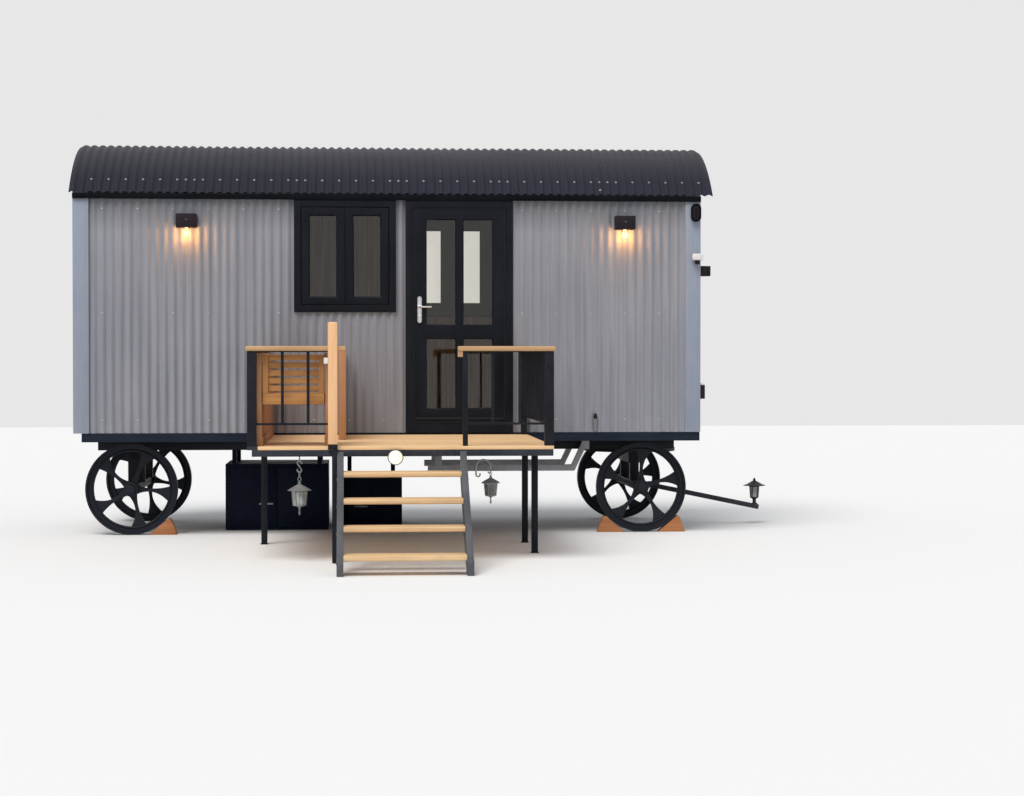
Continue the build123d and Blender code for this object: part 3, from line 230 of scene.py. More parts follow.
def another(piece, place):
    """A copy with its own mesh, moved or turned by a matrix."""
    twin = piece.copy()
    twin.data = piece.data.copy()
    twin.data.transform(place)
    bpy.context.collection.objects.link(twin)
    return twin


def moved(piece, place):
    """A piece moved or turned by a matrix, in its own mesh."""
    piece.data.transform(place)
    return piece


def shift(x=0.0, y=0.0, z=0.0):
    """The matrix of a plain move."""
    return Matrix.Translation((x, y, z))


def about(centre, angle, axis):
    """The matrix of a turn round an axis through a place."""
    centre = Vector(centre)
    return Matrix.Translation(centre) @ Matrix.Rotation(angle, 4, axis) @ Matrix.Translation(-centre)


print("bars, copies and moves are ready")

# %% Join, modify and soften
def joined(pieces):
    """Joins a list of pieces into the first one."""
    let_go()
    for piece in pieces:
        piece.select_set(True)
    bpy.context.view_layer.objects.active = pieces[0]
    if len(pieces) > 1:
        bpy.ops.object.join()
    return pieces[0]


def modify(piece, kind, **settings):
    """Adds one modifier with its settings and applies it."""
    take(piece)
    modifier = piece.modifiers.new(kind.lower(), kind)
    for name, value in settings.items():
        setattr(modifier, name, value)
    bpy.ops.object.modifier_apply(modifier=modifier.name)
    return piece


def soften(piece, width, rounds=2, corner=50):
    """Bevels the edges at which a piece turns by more than corner degrees."""
    limit = math.radians(corner)
    return modify(piece, "BEVEL", width=width, segments=rounds, limit_method="ANGLE", angle_limit=limit)


print("joined, modify and soften are ready")

# %% Trace, spin and copy a part
DOUBLES = 0.00002


def trace(points):
    """A chain of edges, drawn by extruding one point from place to place."""
    let_go()
    bpy.ops.mesh.primitive_plane_add(size=0.01, location=points[0])
    piece = settle()
    edit(piece)
    bpy.ops.mesh.merge(type="CENTER")
    for before, after in zip(points, points[1:]):
        push(Vector(after) - Vector(before))
    let_go()
    return piece


def turned(points, centre, axis, steps):
    """Spins a traced outline round an axis, like wood on a lathe, and closes it."""
    piece = trace(points)
    edit(piece)
    bpy.ops.mesh.spin(steps=steps, angle=2 * math.pi, center=centre, axis=axis)
    bpy.ops.mesh.select_all(action="SELECT")
    bpy.ops.mesh.remove_doubles(threshold=DOUBLES)
    face_out()
    return piece


def upright(profile, foot, steps):
    """Turns pairs of (radius, height) round the upright through a place."""
    x, y, z = foot
    return turned([(x + radius, y, z + rise) for radius, rise in profile], foot, (0, 0, 1), steps)


def lengthwise(profile, place, steps, way=1):
    """Turns pairs of (radius, depth) round the line that runs front to back through a place."""
    x, y, z = place
    return turned([(x, y + way * deep, z + radius) for radius, deep in profile], place, (0, 1, 0), steps)


def eased_copy(node, ease=0.002, rounds=2):
    """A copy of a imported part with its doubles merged, its flat faces whole and its edges eased."""
    piece = bpy.data.objects.new(node + "_copy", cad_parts[node].data.copy())
    bpy.context.collection.objects.link(piece)
    take(piece)
    bpy.ops.mesh.customdata_custom_splitnormals_clear()
    edit(piece)
    bpy.ops.mesh.remove_doubles(threshold=0.00001)
    bpy.ops.mesh.dissolve_limited(angle_limit=math.radians(1))
    let_go()
    return soften(piece, ease, rounds, 40)


print("kit ready")

# %% [markdown]
# ## A small kit for materials
# A material is a sum: a colour, plus a little noise, minus some wear. `Tone` wraps the output of a node, so
# that sums and products can be written as they are on paper, and `Finish` adds any other node by its type.

# %% Tones
class Tone:
    """The output of a node. Arithmetic on it adds the Math node that does the sum."""

    def __init__(self, finish, socket):
        self.finish = finish
        self.socket = socket

    def reckon(self, operation, *terms):
        return self.finish.node("ShaderNodeMath", {"operation": operation}, dict(enumerate(terms)))

    def __add__(self, other):
        return self.reckon("ADD", self, other)

    def __radd__(self, other):
        return self.reckon("ADD", other, self)

    def __sub__(self, other):
        return self.reckon("SUBTRACT", self, other)

    def __rsub__(self, other):
        return self.reckon("SUBTRACT", other, self)

    def __mul__(self, other):
        return self.reckon("MULTIPLY", self, other)

    def __rmul__(self, other):
        return self.reckon("MULTIPLY", other, self)


print("tones can be added and multiplied")

# %% Finishes
class Finish:
    """A material in the making: its shader's fixed values, and one way to add any node."""

    def __init__(self, name, **fixed):
        self.material = bpy.data.materials.new(name)
        self.material.use_nodes = True
        self.tree = self.material.node_tree
        self.shader = self.tree.nodes["Principled BSDF"]
        self.place = self.node("ShaderNodeTexCoord", {}, {}, "Object")
        self.feed(**fixed)

    def node(self, kind, settings, sockets, output=0):
        made = self.tree.nodes.new(kind)
        for name, value in settings.items():
            setattr(made, name, value)
        for name, value in sockets.items():
            self.set(made.inputs[name], value)
        return Tone(self, made.outputs[output])

    def set(self, socket, value):
        if isinstance(value, Tone):
            self.tree.links.new(value.socket, socket)
        elif socket.type == "RGBA":
            socket.default_value = (*value, 1)
        else:
            socket.default_value = value

    def feed(self, **values):
        for name, value in values.items():
            self.set(self.shader.inputs[name.replace("_", " ")], value)
        return self

    def noise(self, scale, detail=3.0, stretch=(1, 1, 1), rough=0.5):
        spot = self.node("ShaderNodeMapping", {}, {"Vector": self.place, "Scale": stretch})
        return self.node(
            "ShaderNodeTexNoise", {}, {"Vector": spot, "Scale": scale, "Detail": detail, "Roughness": rough}
        )

    def height(self):
        return self.node("ShaderNodeSeparateXYZ", {}, {"Vector": self.place}, "Z")

    def ramp(self, value, low, high, start=0.0, end=1.0):
        sockets = {"Value": value, "From Min": low, "From Max": high, "To Min": start, "To Max": end}
        return self.node("ShaderNodeMapRange", {}, sockets)

    def blend(self, first, second, share):
        return self.node("ShaderNodeMix", {"data_type": "RGBA"}, {0: share, 6: first, 7: second}, 2)

    def bump(self, height, depth):
        return self.node("ShaderNodeBump", {}, {"Height": height, "Distance": depth})


pale = Finish("floor_pale", Base_Color=(0.86, 0.86, 0.86), Roughness=0.9, Specular_IOR_Level=0.1)
floor.data.materials.append(pale.material)
print("finishes start with", pale.material.name)

# %% [markdown]
# ## Dressing a piece
# `dress` gives a finished piece its name, its finish, the body that it moves with, and the imported parts
# that it stands for. Boards cut from one tree still differ, so `boards` gives each loose board a number of
# its own, and says which way its grain runs by its longest side.

# %% Dress
triangles = {}


def dress(piece, name, finish, body="hut", stands_for=(), smooth=35):
    """Names a finished piece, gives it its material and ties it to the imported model."""
    take(piece)
    settle()
    bpy.ops.object.shade_smooth_by_angle(angle=math.radians(smooth))
    piece.name = name
    piece.data.name = name
    finishes = finish if isinstance(finish, (list, tuple)) else [finish]
    if len(piece.data.materials) != len(finishes):
        piece.data.materials.clear()
        for each in finishes:
            piece.data.materials.append(each.material)
    for index, each in enumerate(finishes):
        piece.data.materials[index] = each.material
    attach(piece, body)
    if stands_for:
        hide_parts(*stands_for)
    piece.data.calc_loop_triangles()
    triangles[name] = len(piece.data.loop_triangles)
    print(name, triangles[name], "triangles", [round(value, 3) for value in piece.dimensions])
    return piece


def dress_copy(node, name, finish, ease, body="hut", rounds=2):
    """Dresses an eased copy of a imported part, which then stands for that part."""
    return dress(eased_copy(node, ease, rounds), name, finish, body, (node,))


def coat(node, finish):
    """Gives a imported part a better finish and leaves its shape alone."""
    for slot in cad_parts[node].material_slots:
        slot.material = finish.material


print("dress, dress_copy and coat are ready")

# %% Boards
def boards(piece, seed=1):
    """Numbers the loose boards of a piece and sets each board's grain along its longest side."""
    mesh = piece.data
    leader = list(range(len(mesh.vertices)))

    def root(point):
        while leader[point] != point:
            leader[point] = leader[leader[point]]
            point = leader[point]
        return point

    for side in mesh.edges:
        leader[root(side.vertices[0])] = root(side.vertices[1])
    groups = {}
    for point in mesh.vertices:
        groups.setdefault(root(point.index), []).append(point.co)
    order = sorted(groups, key=lambda key: tuple(round(value, 3) for value in groups[key][0]))
    chance = random.Random(seed)
    shade = {key: chance.random() for key in order}
    long_side = {}
    for key in order:
        size = [max(co[i] for co in groups[key]) - min(co[i] for co in groups[key]) for i in range(3)]
        long_side[key] = size.index(max(size))
    mesh.materials.clear()
    for _ in range(3):
        mesh.materials.append(None)
    store = mesh.attributes.new("board", "FLOAT", "POINT")
    for point in mesh.vertices:
        store.data[point.index].value = shade[root(point.index)]
    for face in mesh.polygons:
        face.material_index = long_side[root(face.vertices[0])]
    return piece


print("boards ready")

# %% [markdown]
# ## Painted sheet for the walls
# The walls are clad in wavy steel with a satin grey paint. Rain leaves faint upright streaks on such paint,
# dust makes it duller in soft patches, and splashes darken the last hand's width over the ground frame. A
# painted shade darkens the top of the wall under the eave. The finish adds these four to the grey.

# %% Wall paint
def wall_paint():
    """Satin grey paint on sheet steel, with painted shade under the eave."""
    paint = Finish("wall_sheet_paint", Specular_IOR_Level=0.3)
    streaks = paint.noise(26, 3, (1, 1, 0.035))
    clouds = paint.noise(1.1, 4)
    specks = paint.noise(60, 2)
    grime = paint.ramp(paint.height(), 1.25, 0.92) * paint.ramp(paint.noise(9, 4), 0.35, 0.7)
    # Painted shade under the eave: the top of the wall darkens towards the roof.
    eave_shade = paint.ramp(paint.height() + clouds * 0.1, 2.72, 2.95)
    uneven = paint.ramp(streaks * 0.6 + clouds * 0.4, 0.38, 0.62)
    mottled = paint.blend((0.245, 0.251, 0.284), (0.310, 0.315, 0.350), uneven)
    dusty = paint.blend(mottled, (0.22, 0.225, 0.235), paint.ramp(specks, 0.62, 0.74, 0, 0.35))
    splashed = paint.blend(dusty, (0.18, 0.178, 0.172), grime * 0.22)
    paint.feed(
        Base_Color=paint.blend(splashed, (0.155, 0.162, 0.178), eave_shade * 0.85),
        Roughness=paint.ramp(clouds, 0.3, 0.7, 0.42, 0.56),
        Normal=paint.bump(paint.noise(420, 2), 0.00012),
    )
    return paint


WALL_PAINT = wall_paint()
print(WALL_PAINT.material.name)

# %% [markdown]
# ## Wavy sheets
# Corrugated sheet is rolled from flat steel, and one wave is 76 mm from crest to crest. A single wave is
# traced, an Array repeats it, extruding gives it height and Solidify its thin gauge. Real sheets cover twelve
# waves and lap over one another by a wave, so each sheet is its own piece, and every second one lies a hair
# further out. The holes for the windows and the door are cut by bisecting along their sides.

# %% One wave, trimming and holes
WAVE = 0.0762
WAVE_POINTS = 8
GAUGE = 0.0009


def wave_points(start, along, out, depth):
    """The points of one wave from start, with its crest towards out."""
    start, along, out = Vector(start), Vector(along), Vector(out)
    rises = [(1 - math.cos(2 * math.pi * index / WAVE_POINTS)) / 2 for index in range(WAVE_POINTS + 1)]
    return [start + along * (index / WAVE_POINTS) + out * (depth * rise) for index, rise in enumerate(rises)]


def wavy_run(start, along, out, depth, waves):
    """A row of waves as a line of edges."""
    run = trace(wave_points(start, along, out, depth))
    modify(
        run,
        "ARRAY",
        count=waves,
        use_relative_offset=False,
        use_constant_offset=True,
        constant_offset_displace=Vector(along),
        use_merge_vertices=True,
        merge_threshold=0.0001,
    )
    return run


def trim(piece, place, normal):
    """Cuts a piece at a plane and drops what lies beyond it."""
    edit(piece)
    bpy.ops.mesh.bisect(plane_co=place, plane_no=normal, clear_outer=True)
    let_go()


def cut_hole(piece, left, right, foot, head):
    """Cuts a square hole through a sheet of a long wall, by its sides and its heights."""
    along, up = Vector((1, 0, 0)), Vector((0, 0, 1))
    for value, normal in ((left, along), (right, along), (foot, up), (head, up)):
        edit(piece)
        bpy.ops.mesh.bisect(plane_co=normal * value, plane_no=normal)
    pick(piece, lambda middle, normal: left < middle.x < right and foot < middle.z < head)
    bpy.ops.mesh.delete(type="FACE")
    let_go()


print("one wave is", WAVE, "m wide and is drawn with", WAVE_POINTS, "steps")

# %% Edges, laps and holes of the long walls
SHEET_BACK = 0.0232
SHEET_DEPTH = 0.0158
SHEET_FOOT = WALL_FOOT + 0.001
SHEET_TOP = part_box("eave_fascias")[0].z + 0.045
LAP_LIFT = 0.0012
board_side = 0.138
sheet_left = wall_low.x + board_side + 0.001
sheet_right = wall_high.x - board_side - 0.001
waves_in_sheet = 12
laps = [HUT_MIDDLE + 1.594 - waves_in_sheet * WAVE * count for count in (5, 4, 3, 2, 1, 0)]
frames_low, frames_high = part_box("window_frames")
door_low, door_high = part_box("door_frame")
window_wide = 0.891
front_window = (frames_low.x, frames_low.x + window_wide, frames_low.z, frames_high.z)
back_window = (frames_high.x - window_wide, frames_high.x, frames_low.z, frames_high.z)
front_door = (door_low.x, door_high.x, WALL_FOOT - 0.1, door_high.z)
print("sheets from", round(sheet_left, 3), "to", round(sheet_right, 3))

# %% Lay the sheets of the long walls
def wall_sheets(line_y, out, holes):
    """The sheets of one long wall, between its corner boards. out is -1 in front and 1 at the back."""
    edges = [sheet_left] + [lap for lap in laps if sheet_left < lap < sheet_right] + [sheet_right]
    sheets = []
    for index, (start, end) in enumerate(zip(edges, edges[1:])):
        first = sheet_left + WAVE * math.floor((start - sheet_left) / WAVE)
        waves = math.ceil((end - first) / WAVE) + 1
        foot = (first, line_y + out * LAP_LIFT * (index % 2), SHEET_FOOT)
        sheet = wavy_run(foot, (WAVE, 0, 0), (0, out, 0), SHEET_DEPTH, waves)
        edit(sheet)
        push((0, 0, SHEET_TOP - SHEET_FOOT))
        let_go()
        trim(sheet, (min(sheet_right, end + WAVE * 0.6), 0, 0), (1, 0, 0))
        for hole in holes:
            cut_hole(sheet, *hole)
        edit(sheet)
        face_out()
        sheets.append(modify(sheet, "SOLIDIFY", thickness=GAUGE, offset=0))
    return sheets


front_sheets = wall_sheets(HUT_FRONT + SHEET_BACK, -1, [front_window, front_door])
back_sheets = wall_sheets(HUT_FRONT + HUT_DEEP - SHEET_BACK, 1, [back_window])
print(len(front_sheets), "front sheets and", len(back_sheets), "back sheets")

# %% [markdown]
# ## Sheets on the two ends
# An end sheet runs up to the round roof. The waves are extruded tall, and then each point of the top edge is
# let down to the arch under the roof boards, which leaves the foot of each wave where it was.

# %% End sheets
end_side_low = HUT_FRONT + board_side + 0.001
end_side_high = HUT_FRONT + HUT_DEEP - board_side - 0.001
cladding_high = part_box("wall_cladding")[1]
roof_low, roof_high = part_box("roof_sheet")
ROOF_HALF = (roof_high.y - roof_low.y) / 2
ROOF_MIDDLE = (roof_high.y + roof_low.y) / 2
arch_rise, sheet_over_arch = 0.465, 0.036
roof_rise = arch_rise + sheet_over_arch
ROOF_RADIUS = (ROOF_HALF**2 + roof_rise**2) / (2 * roof_rise)
ROOF_CENTRE = roof_high.z - ROOF_RADIUS
arch_radius = cladding_high.z - ROOF_CENTRE - 0.001


def end_sheet(line_x, out):
    """One end's sheet, with its head cut to the arch."""
    waves = math.ceil((end_side_high - end_side_low) / WAVE)
    sheet = wavy_run((line_x, end_side_low, SHEET_FOOT), (0, WAVE, 0), (out, 0, 0), SHEET_DEPTH, waves)
    edit(sheet)
    push((0, 0, 1.0))
    let_go()
    trim(sheet, (0, end_side_high, 0), (0, 1, 0))
    for point in sheet.data.vertices:
        if point.co.z > WALL_FOOT + 0.5:
            point.co.z = ROOF_CENTRE + math.sqrt(arch_radius**2 - (point.co.y - ROOF_MIDDLE) ** 2)
    edit(sheet)
    face_out()
    return modify(sheet, "SOLIDIFY", thickness=GAUGE, offset=0)


end_sheets = [end_sheet(wall_low.x + SHEET_BACK, -1), end_sheet(wall_high.x - SHEET_BACK, 1)]
dress(
    joined(front_sheets + back_sheets + end_sheets),
    "wall_sheets",
    WALL_PAINT,
    stands_for=("wall_cladding",),
    smooth=50,
)

# %% [markdown]
# ## Roof paint
# The roof is the same wavy sheet in a black coat. Its crown faces the sky and has a painted sheen, a lighter
# brown-grey, its eaves stay blue-black, and pale specks of lichen sit on it here and there.

# %% Roof coat
def roof_coat():
    """Black coat on sheet steel, with a painted sky sheen that lightens it towards the crown."""
    coat_of = Finish("roof_sheet_coat", Specular_IOR_Level=0.12)
    patches = coat_of.noise(2.2, 5, (0.5, 1, 1), 0.6)
    specks = coat_of.ramp(coat_of.noise(75, 2), 0.66, 0.76)
    # Painted sheen: the coat turns a lighter brown-grey towards the crown, where it faces the sky.
    crown = coat_of.ramp(coat_of.height() + patches * 0.12, 3.2, 3.56)
    eave = coat_of.blend((0.012, 0.0135, 0.023), (0.025, 0.026, 0.039), patches)
    crown_sheened = coat_of.blend(eave, (0.047, 0.045, 0.056), crown)
    coat_of.feed(
        Base_Color=coat_of.blend(crown_sheened, (0.16, 0.16, 0.15), specks * 0.3),
        Roughness=coat_of.ramp(patches, 0.3, 0.7, 0.5, 0.66),
        Normal=coat_of.bump(coat_of.noise(380, 2), 0.00015),
    )
    return coat_of


ROOF_COAT = roof_coat()
print(ROOF_COAT.material.name)

# %% [markdown]
# ## The barrel roof
# Each roof sheet is bent over the hut from eave to eave. A row of waves is traced along the front eave, with
# its crests pointing away from the middle of the barrel, and Spin sweeps it over to the back eave. The waves
# then show as the scalloped line over the black eave board.

# %% Roof sheets
roof_waves = 76
verge = 0.0003
roof_left = roof_low.x + verge
roof_pitch = (roof_high.x - verge - roof_left) / roof_waves
roof_laps = [0, 13, 26, 38, 50, 62, roof_waves]
roof_depth = 0.018
roof_angle = math.asin(ROOF_HALF / ROOF_RADIUS)
eave_out = Vector((0, -math.sin(roof_angle), math.cos(roof_angle)))
barrel_middle = Vector((0, ROOF_MIDDLE, ROOF_CENTRE))
roof_steps = 40


def roof_sheet(first, last, drop):
    """One bent sheet between two counts of waves, drop metres inside the outermost ones."""
    start = Vector((roof_left + first * roof_pitch, 0, 0)) + barrel_middle
    start += eave_out * (ROOF_RADIUS - GAUGE / 2 - roof_depth - drop)
    sheet = wavy_run(start, (roof_pitch, 0, 0), eave_out, roof_depth, last - first)
    edit(sheet)
    bpy.ops.mesh.spin(steps=roof_steps, angle=2 * roof_angle, center=barrel_middle, axis=(1, 0, 0))
    bpy.ops.mesh.select_all(action="SELECT")
    bpy.ops.mesh.remove_doubles(threshold=DOUBLES)
    face_out()
    return modify(sheet, "SOLIDIFY", thickness=GAUGE, offset=0)


roof_sheets = []
for index, (first, last) in enumerate(zip(roof_laps, roof_laps[1:])):
    lapped = min(last + 1, roof_waves)
    roof_sheets.append(roof_sheet(first, lapped, LAP_LIFT * (index % 2)))
dress(joined(roof_sheets), "roof_sheets", ROOF_COAT, "hut", ("roof_sheet",), 50)

# %% [markdown]
# ## Roof and wall screws
# Sheet is held by screws with a domed washer, driven through the crests. On the roof there is one on every
# second crest and one on each crest at a lap, in a single line near the eaves. Their bare heads are the pale
# dots in the photograph. One screw is a squashed dome on a wider washer, and the rest are copies.

# %% Screw metal
bright = Finish("screw_metal", Metallic=0.4)
bright.feed(
    Base_Color=bright.blend((0.25, 0.245, 0.25), (0.35, 0.34, 0.345), bright.noise(40, 2)),
    Roughness=bright.ramp(bright.noise(90, 2), 0.3, 0.7, 0.35, 0.55),
)


print(bright.material.name)

# %% Screw heads
def sheet_screw(radius):
    """One screw head that points along +Z, with its washer on the origin."""
    dome = [(0, 0.007), (radius * 0.55, 0.0062), (radius * 0.6, 0.0022), (radius, 0.0014), (radius, -0.001)]
    return upright(dome, (0, 0, 0), 8)


def aimed(place, out):
    """The matrix that stands an upright form at a place, pointing out."""
    return Matrix.Translation(place) @ Vector((0, 0, 1)).rotation_difference(Vector(out)).to_matrix().to_4x4()


print("screw heads ready")

# %% Roof screws
def on_roof(crest, side, height):
    """The matrix of a screw on a crest, at a height on the front (-1) or the back (1) of the roof."""
    angle = math.acos((height - ROOF_CENTRE) / ROOF_RADIUS)
    out = Vector((0, side * math.sin(angle), math.cos(angle)))
    along = Vector((roof_low.x + (crest + 0.5) * roof_pitch, 0, 0))
    return aimed(along + barrel_middle + out * (ROOF_RADIUS - 0.001), out)


roof_screw_height = 3.12
close_crests = {12, 13, 14, 25, 26, 37, 38, 49, 50, 61, 62, 63}
crests = [2]
while crests[-1] < roof_waves - 2:
    crests.append(crests[-1] + (1 if crests[-1] in close_crests else 2))
screw = sheet_screw(0.0105)
roof_screws = []
for side in (-1, 1):
    roof_screws += [another(screw, on_roof(crest, side, roof_screw_height)) for crest in crests]
roof_screws.append(another(screw, on_roof(62, -1, roof_screw_height - 0.075)))
bpy.data.objects.remove(screw)
dress(joined(roof_screws), "roof_screws", bright, smooth=60)

# %% Wall screws
wall_screw_rows = (1.02, 1.956, 2.86)
wall_screw_step = 4
beside_hole = 0.02


def crests_along(low, high):
    """The crests of a wall that carry screws."""
    return range(1, int((high - low) / WAVE), wall_screw_step)


def near(spot, hole):
    """Whether a place on a wall lies in a hole or just beside it."""
    left, right, foot, head = hole
    across = left - beside_hole < spot.x < right + beside_hole
    return across and foot - beside_hole < spot.z < head + beside_hole


crest_out = SHEET_BACK - SHEET_DEPTH
screw = sheet_screw(0.007)
wall_screws = []
for side, line_y, holes in (
    (-1, HUT_FRONT + crest_out, (front_window, front_door)),
    (1, HUT_FRONT + HUT_DEEP - crest_out, (back_window,)),
):
    for height in wall_screw_rows:
        for crest in crests_along(sheet_left, sheet_right):
            spot = Vector((sheet_left + (crest + 0.5) * WAVE, line_y - side * 0.0008, height))
            if not any(near(spot, hole) for hole in holes):
                wall_screws.append(another(screw, aimed(spot, (0, side, 0))))
for side, line_x in ((-1, wall_low.x + crest_out), (1, wall_high.x - crest_out)):
    for height in wall_screw_rows:
        for crest in crests_along(end_side_low, end_side_high):
            spot = (line_x - side * 0.0008, end_side_low + (crest + 0.5) * WAVE, height)
            wall_screws.append(another(screw, aimed(spot, (side, 0, 0))))
bpy.data.objects.remove(screw)
dull = Finish("wall_screw_paint", Specular_IOR_Level=0.4)
dull.feed(
    Base_Color=dull.blend((0.34, 0.345, 0.36), (0.6, 0.6, 0.6), dull.ramp(dull.noise(3, 3), 0.4, 0.6)),
    Roughness=dull.ramp(dull.noise(80, 2), 0.3, 0.7, 0.4, 0.6),
)
dress(joined(wall_screws), "wall_screws", dull, smooth=60)

# %% [markdown]
# ## Painted boards at the corners and eaves
# The corner boards are planed timber in a light blue-grey, and the eave boards and the sill ring are black.
# Paint on timber keeps a trace of the grain as a fine upright ripple, and is worn thinner in patches. The
# packed boards have the right shape, so each is copied and gets eased edges.

# %% Board paint
def board_paint(name, colour, worn, stretch, rough=0.5, grain=0.00025, sheen=0.3):
    """Brushed paint over planed timber, with the grain drawn out along its stretch."""
    paint = Finish(name, Specular_IOR_Level=sheen)
    fibre = paint.noise(55, 4, stretch)
    patches = paint.noise(3, 4)
    paint.feed(
        Base_Color=paint.blend(colour, worn, paint.ramp(fibre * 0.5 + patches * 0.5, 0.4, 0.66)),
        Roughness=paint.ramp(patches, 0.3, 0.7, rough - 0.07, rough + 0.08),
        Normal=paint.bump(fibre, grain),
    )
    return paint


up_grain, long_grain = (1, 1, 0.05), (0.05, 1, 1)
TRIM_PAINT = board_paint("corner_board_paint", (0.262, 0.296, 0.370), (0.306, 0.334, 0.408), up_grain)
EAVE_PAINT = board_paint(
    "eave_board_paint", (0.0032, 0.004, 0.0065), (0.007, 0.008, 0.011), long_grain, sheen=0.06
)
SILL_PAINT = board_paint("sill_paint", (0.010, 0.0155, 0.027), (0.018, 0.025, 0.038), long_grain, sheen=0.1)
dress_copy("corner_boards", "corner_trim", TRIM_PAINT, 0.004)
eave_low, eave_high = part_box("eave_fascias")
strip_in, strip_wide, strip_drop = 0.002, 0.020, 0.0105
eave_parts = [eased_copy("eave_fascias", 0.003)]
for strip_y in (eave_low.y + strip_in, eave_high.y - strip_in - strip_wide):
    low = (eave_low.x, strip_y, eave_low.z - strip_drop)
    eave_parts.append(bar(low, (eave_high.x, strip_y + strip_wide, eave_low.z + 0.001)))
dress(joined(eave_parts), "eave_boards", EAVE_PAINT, "hut", ("eave_fascias",))
dress_copy("floor_frame", "sill_ring", SILL_PAINT, 0.003)

# %% [markdown]
# ## Inside the cabin
# Through the panes one sees a boarded room. The imported walls, floor and roof boards keep their shapes and get
# a timber finish, with dark lines where the boards meet: upright on the walls and along the hut on the floor.
# Where the cores and the roof boards show outdoors, above the sheet and past the end walls, the finish turns
# black, a painted shade for the dark gaps under the roof sheet.

# %% Lining boards
NEVER_OUTDOORS = (9.0, 9.0)
PAINT_EDGE = 0.004


def lining(name, colour, deep, joint_axis, width, stretch, painted_from=NEVER_OUTDOORS):
    """Boards with a narrow dark joint at each width along one axis, and black painted shade where they run
    outdoors.
    """
    wood = Finish(name, Roughness=0.55, Specular_IOR_Level=0.35)
    fibre = wood.noise(24, 4, stretch)
    run = wood.node("ShaderNodeSeparateXYZ", {}, {"Vector": wood.place}, joint_axis)
    phase = run.reckon("FRACT", run * (1 / width))
    joint = wood.ramp(phase.reckon("ABSOLUTE", phase - 0.5), 0.47, 0.5)
    along = wood.node("ShaderNodeSeparateXYZ", {}, {"Vector": wood.place}, "X")
    across = wood.node("ShaderNodeSeparateXYZ", {}, {"Vector": wood.place}, "Y")
    from_middle = along.reckon("ABSOLUTE", along - HUT_MIDDLE)
    from_ridge = across.reckon("ABSOLUTE", across - HUT_FRONT - HUT_DEEP / 2)
    # Painted shade: the boards turn black where they run outdoors, into the dark gaps under the roof sheet.
    past_ends = wood.ramp(from_middle, painted_from[0], painted_from[0] + PAINT_EDGE)
    past_walls = wood.ramp(from_ridge, painted_from[1], painted_from[1] + PAINT_EDGE)
    outdoors = along.reckon("MAXIMUM", past_ends, past_walls)
    grained_wood = wood.blend(colour, deep, wood.ramp(fibre, 0.35, 0.68))
    jointed = wood.blend(grained_wood, (0.03, 0.018, 0.01), joint * 0.8)
    wood.feed(
        Base_Color=wood.blend(jointed, (0.005, 0.006, 0.009), outdoors),
        Normal=wood.bump(fibre * 0.2 - joint, 0.002),
    )
    return wood


core_outside = (eave_high.x - HUT_MIDDLE - 0.06, HUT_DEEP / 2 - 0.06)
golden = ((0.46, 0.27, 0.15), (0.30, 0.155, 0.08))
brown = ((0.36, 0.21, 0.12), (0.24, 0.13, 0.07))
grain_up, grain_along = (1, 1, 0.06), (0.06, 1, 1)
WALL_LINING = lining("wall_lining", *golden, "X", 0.095, grain_up, core_outside)
END_LINING = lining("end_lining", *golden, "Y", 0.095, grain_up, core_outside)
FLOOR_LINING = lining("floor_lining", *brown, "Y", 0.12, grain_along)
ROOF_LINING = lining("roof_lining", *brown, "Y", 0.12, grain_along, core_outside)
for node in ("front_wall_left", "front_wall_right", "wall_over_door", "back_wall"):
    coat(node, WALL_LINING)
coat("end_walls", END_LINING)
coat("floor_panel", FLOOR_LINING)
coat("roof_boards", ROOF_LINING)
print("room lined")

# %% [markdown]
# ## Dark window and door frames
# The joinery is sprayed a near-black anthracite, satin and even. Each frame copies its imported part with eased
# edges. What makes it read as joinery is the small work at the glass: a sloped glazing bead round each pane,
# mitred by insetting a pane's outline, and a thin black gasket beside the glass.

# %% Frame paint and glass
anthracite, rubbed_anthracite = (0.0045, 0.006, 0.0105), (0.0085, 0.0105, 0.0165)
FRAME_PAINT = board_paint(
    "frame_anthracite_paint", anthracite, rubbed_anthracite, (1, 1, 0.3), 0.36, grain=0.00006, sheen=0.14
)
GASKET = Finish("glazing_gasket", Base_Color=(0.006, 0.006, 0.007), Specular_IOR_Level=0.3)
GASKET.feed(Roughness=GASKET.ramp(GASKET.noise(60, 2), 0.3, 0.7, 0.6, 0.75))


def pane_glass():
    """Clear window glass with a slight green-grey body and a roughness that varies a little in patches."""
    glass = Finish("pane_glass", Transmission_Weight=1.0, IOR=1.45, Base_Color=(0.89, 0.88, 0.83))
    glass.feed(Roughness=glass.ramp(glass.noise(5, 3), 0.45, 0.75, 0.0, 0.04))
    return glass


GLASS = pane_glass()
coat("window_glass", GLASS)
coat("door_glass", GLASS)
print(GLASS.material.name)

# %% Beads and gaskets
def bead(left, right, foot, head, line_y, out, width, proud):
    """A sloped bead round one pane. out is -1 for a bead on the front side, +1 on the back."""
    let_go()
    bpy.ops.mesh.primitive_plane_add(
        size=1,
        location=((left + right) / 2, line_y, (foot + head) / 2),
        rotation=(math.radians(90), 0, 0),
    )
    piece = bpy.context.object
    piece.scale = (right - left, head - foot, 1)
    settle()
    edit(piece)
    bpy.ops.mesh.select_mode(type="FACE")
    bpy.ops.mesh.select_all(action="SELECT")
    bpy.ops.mesh.inset(thickness=width, depth=0)
    bpy.ops.mesh.delete(type="FACE")
    bpy.ops.mesh.select_all(action="SELECT")
    push((0, out * proud, 0))
    face_out()
    inner = (left + width * 0.9, right - width * 0.9, foot + width * 0.9, head - width * 0.9)
    for point in piece.data.vertices:
        at_front = abs(point.co.y - (line_y + out * proud)) < 0.0005
        at_pane = inner[0] < point.co.x < inner[1] and inner[2] < point.co.z < inner[3]
        if at_front and at_pane:
            point.co.y -= out * proud * 0.6
    return piece


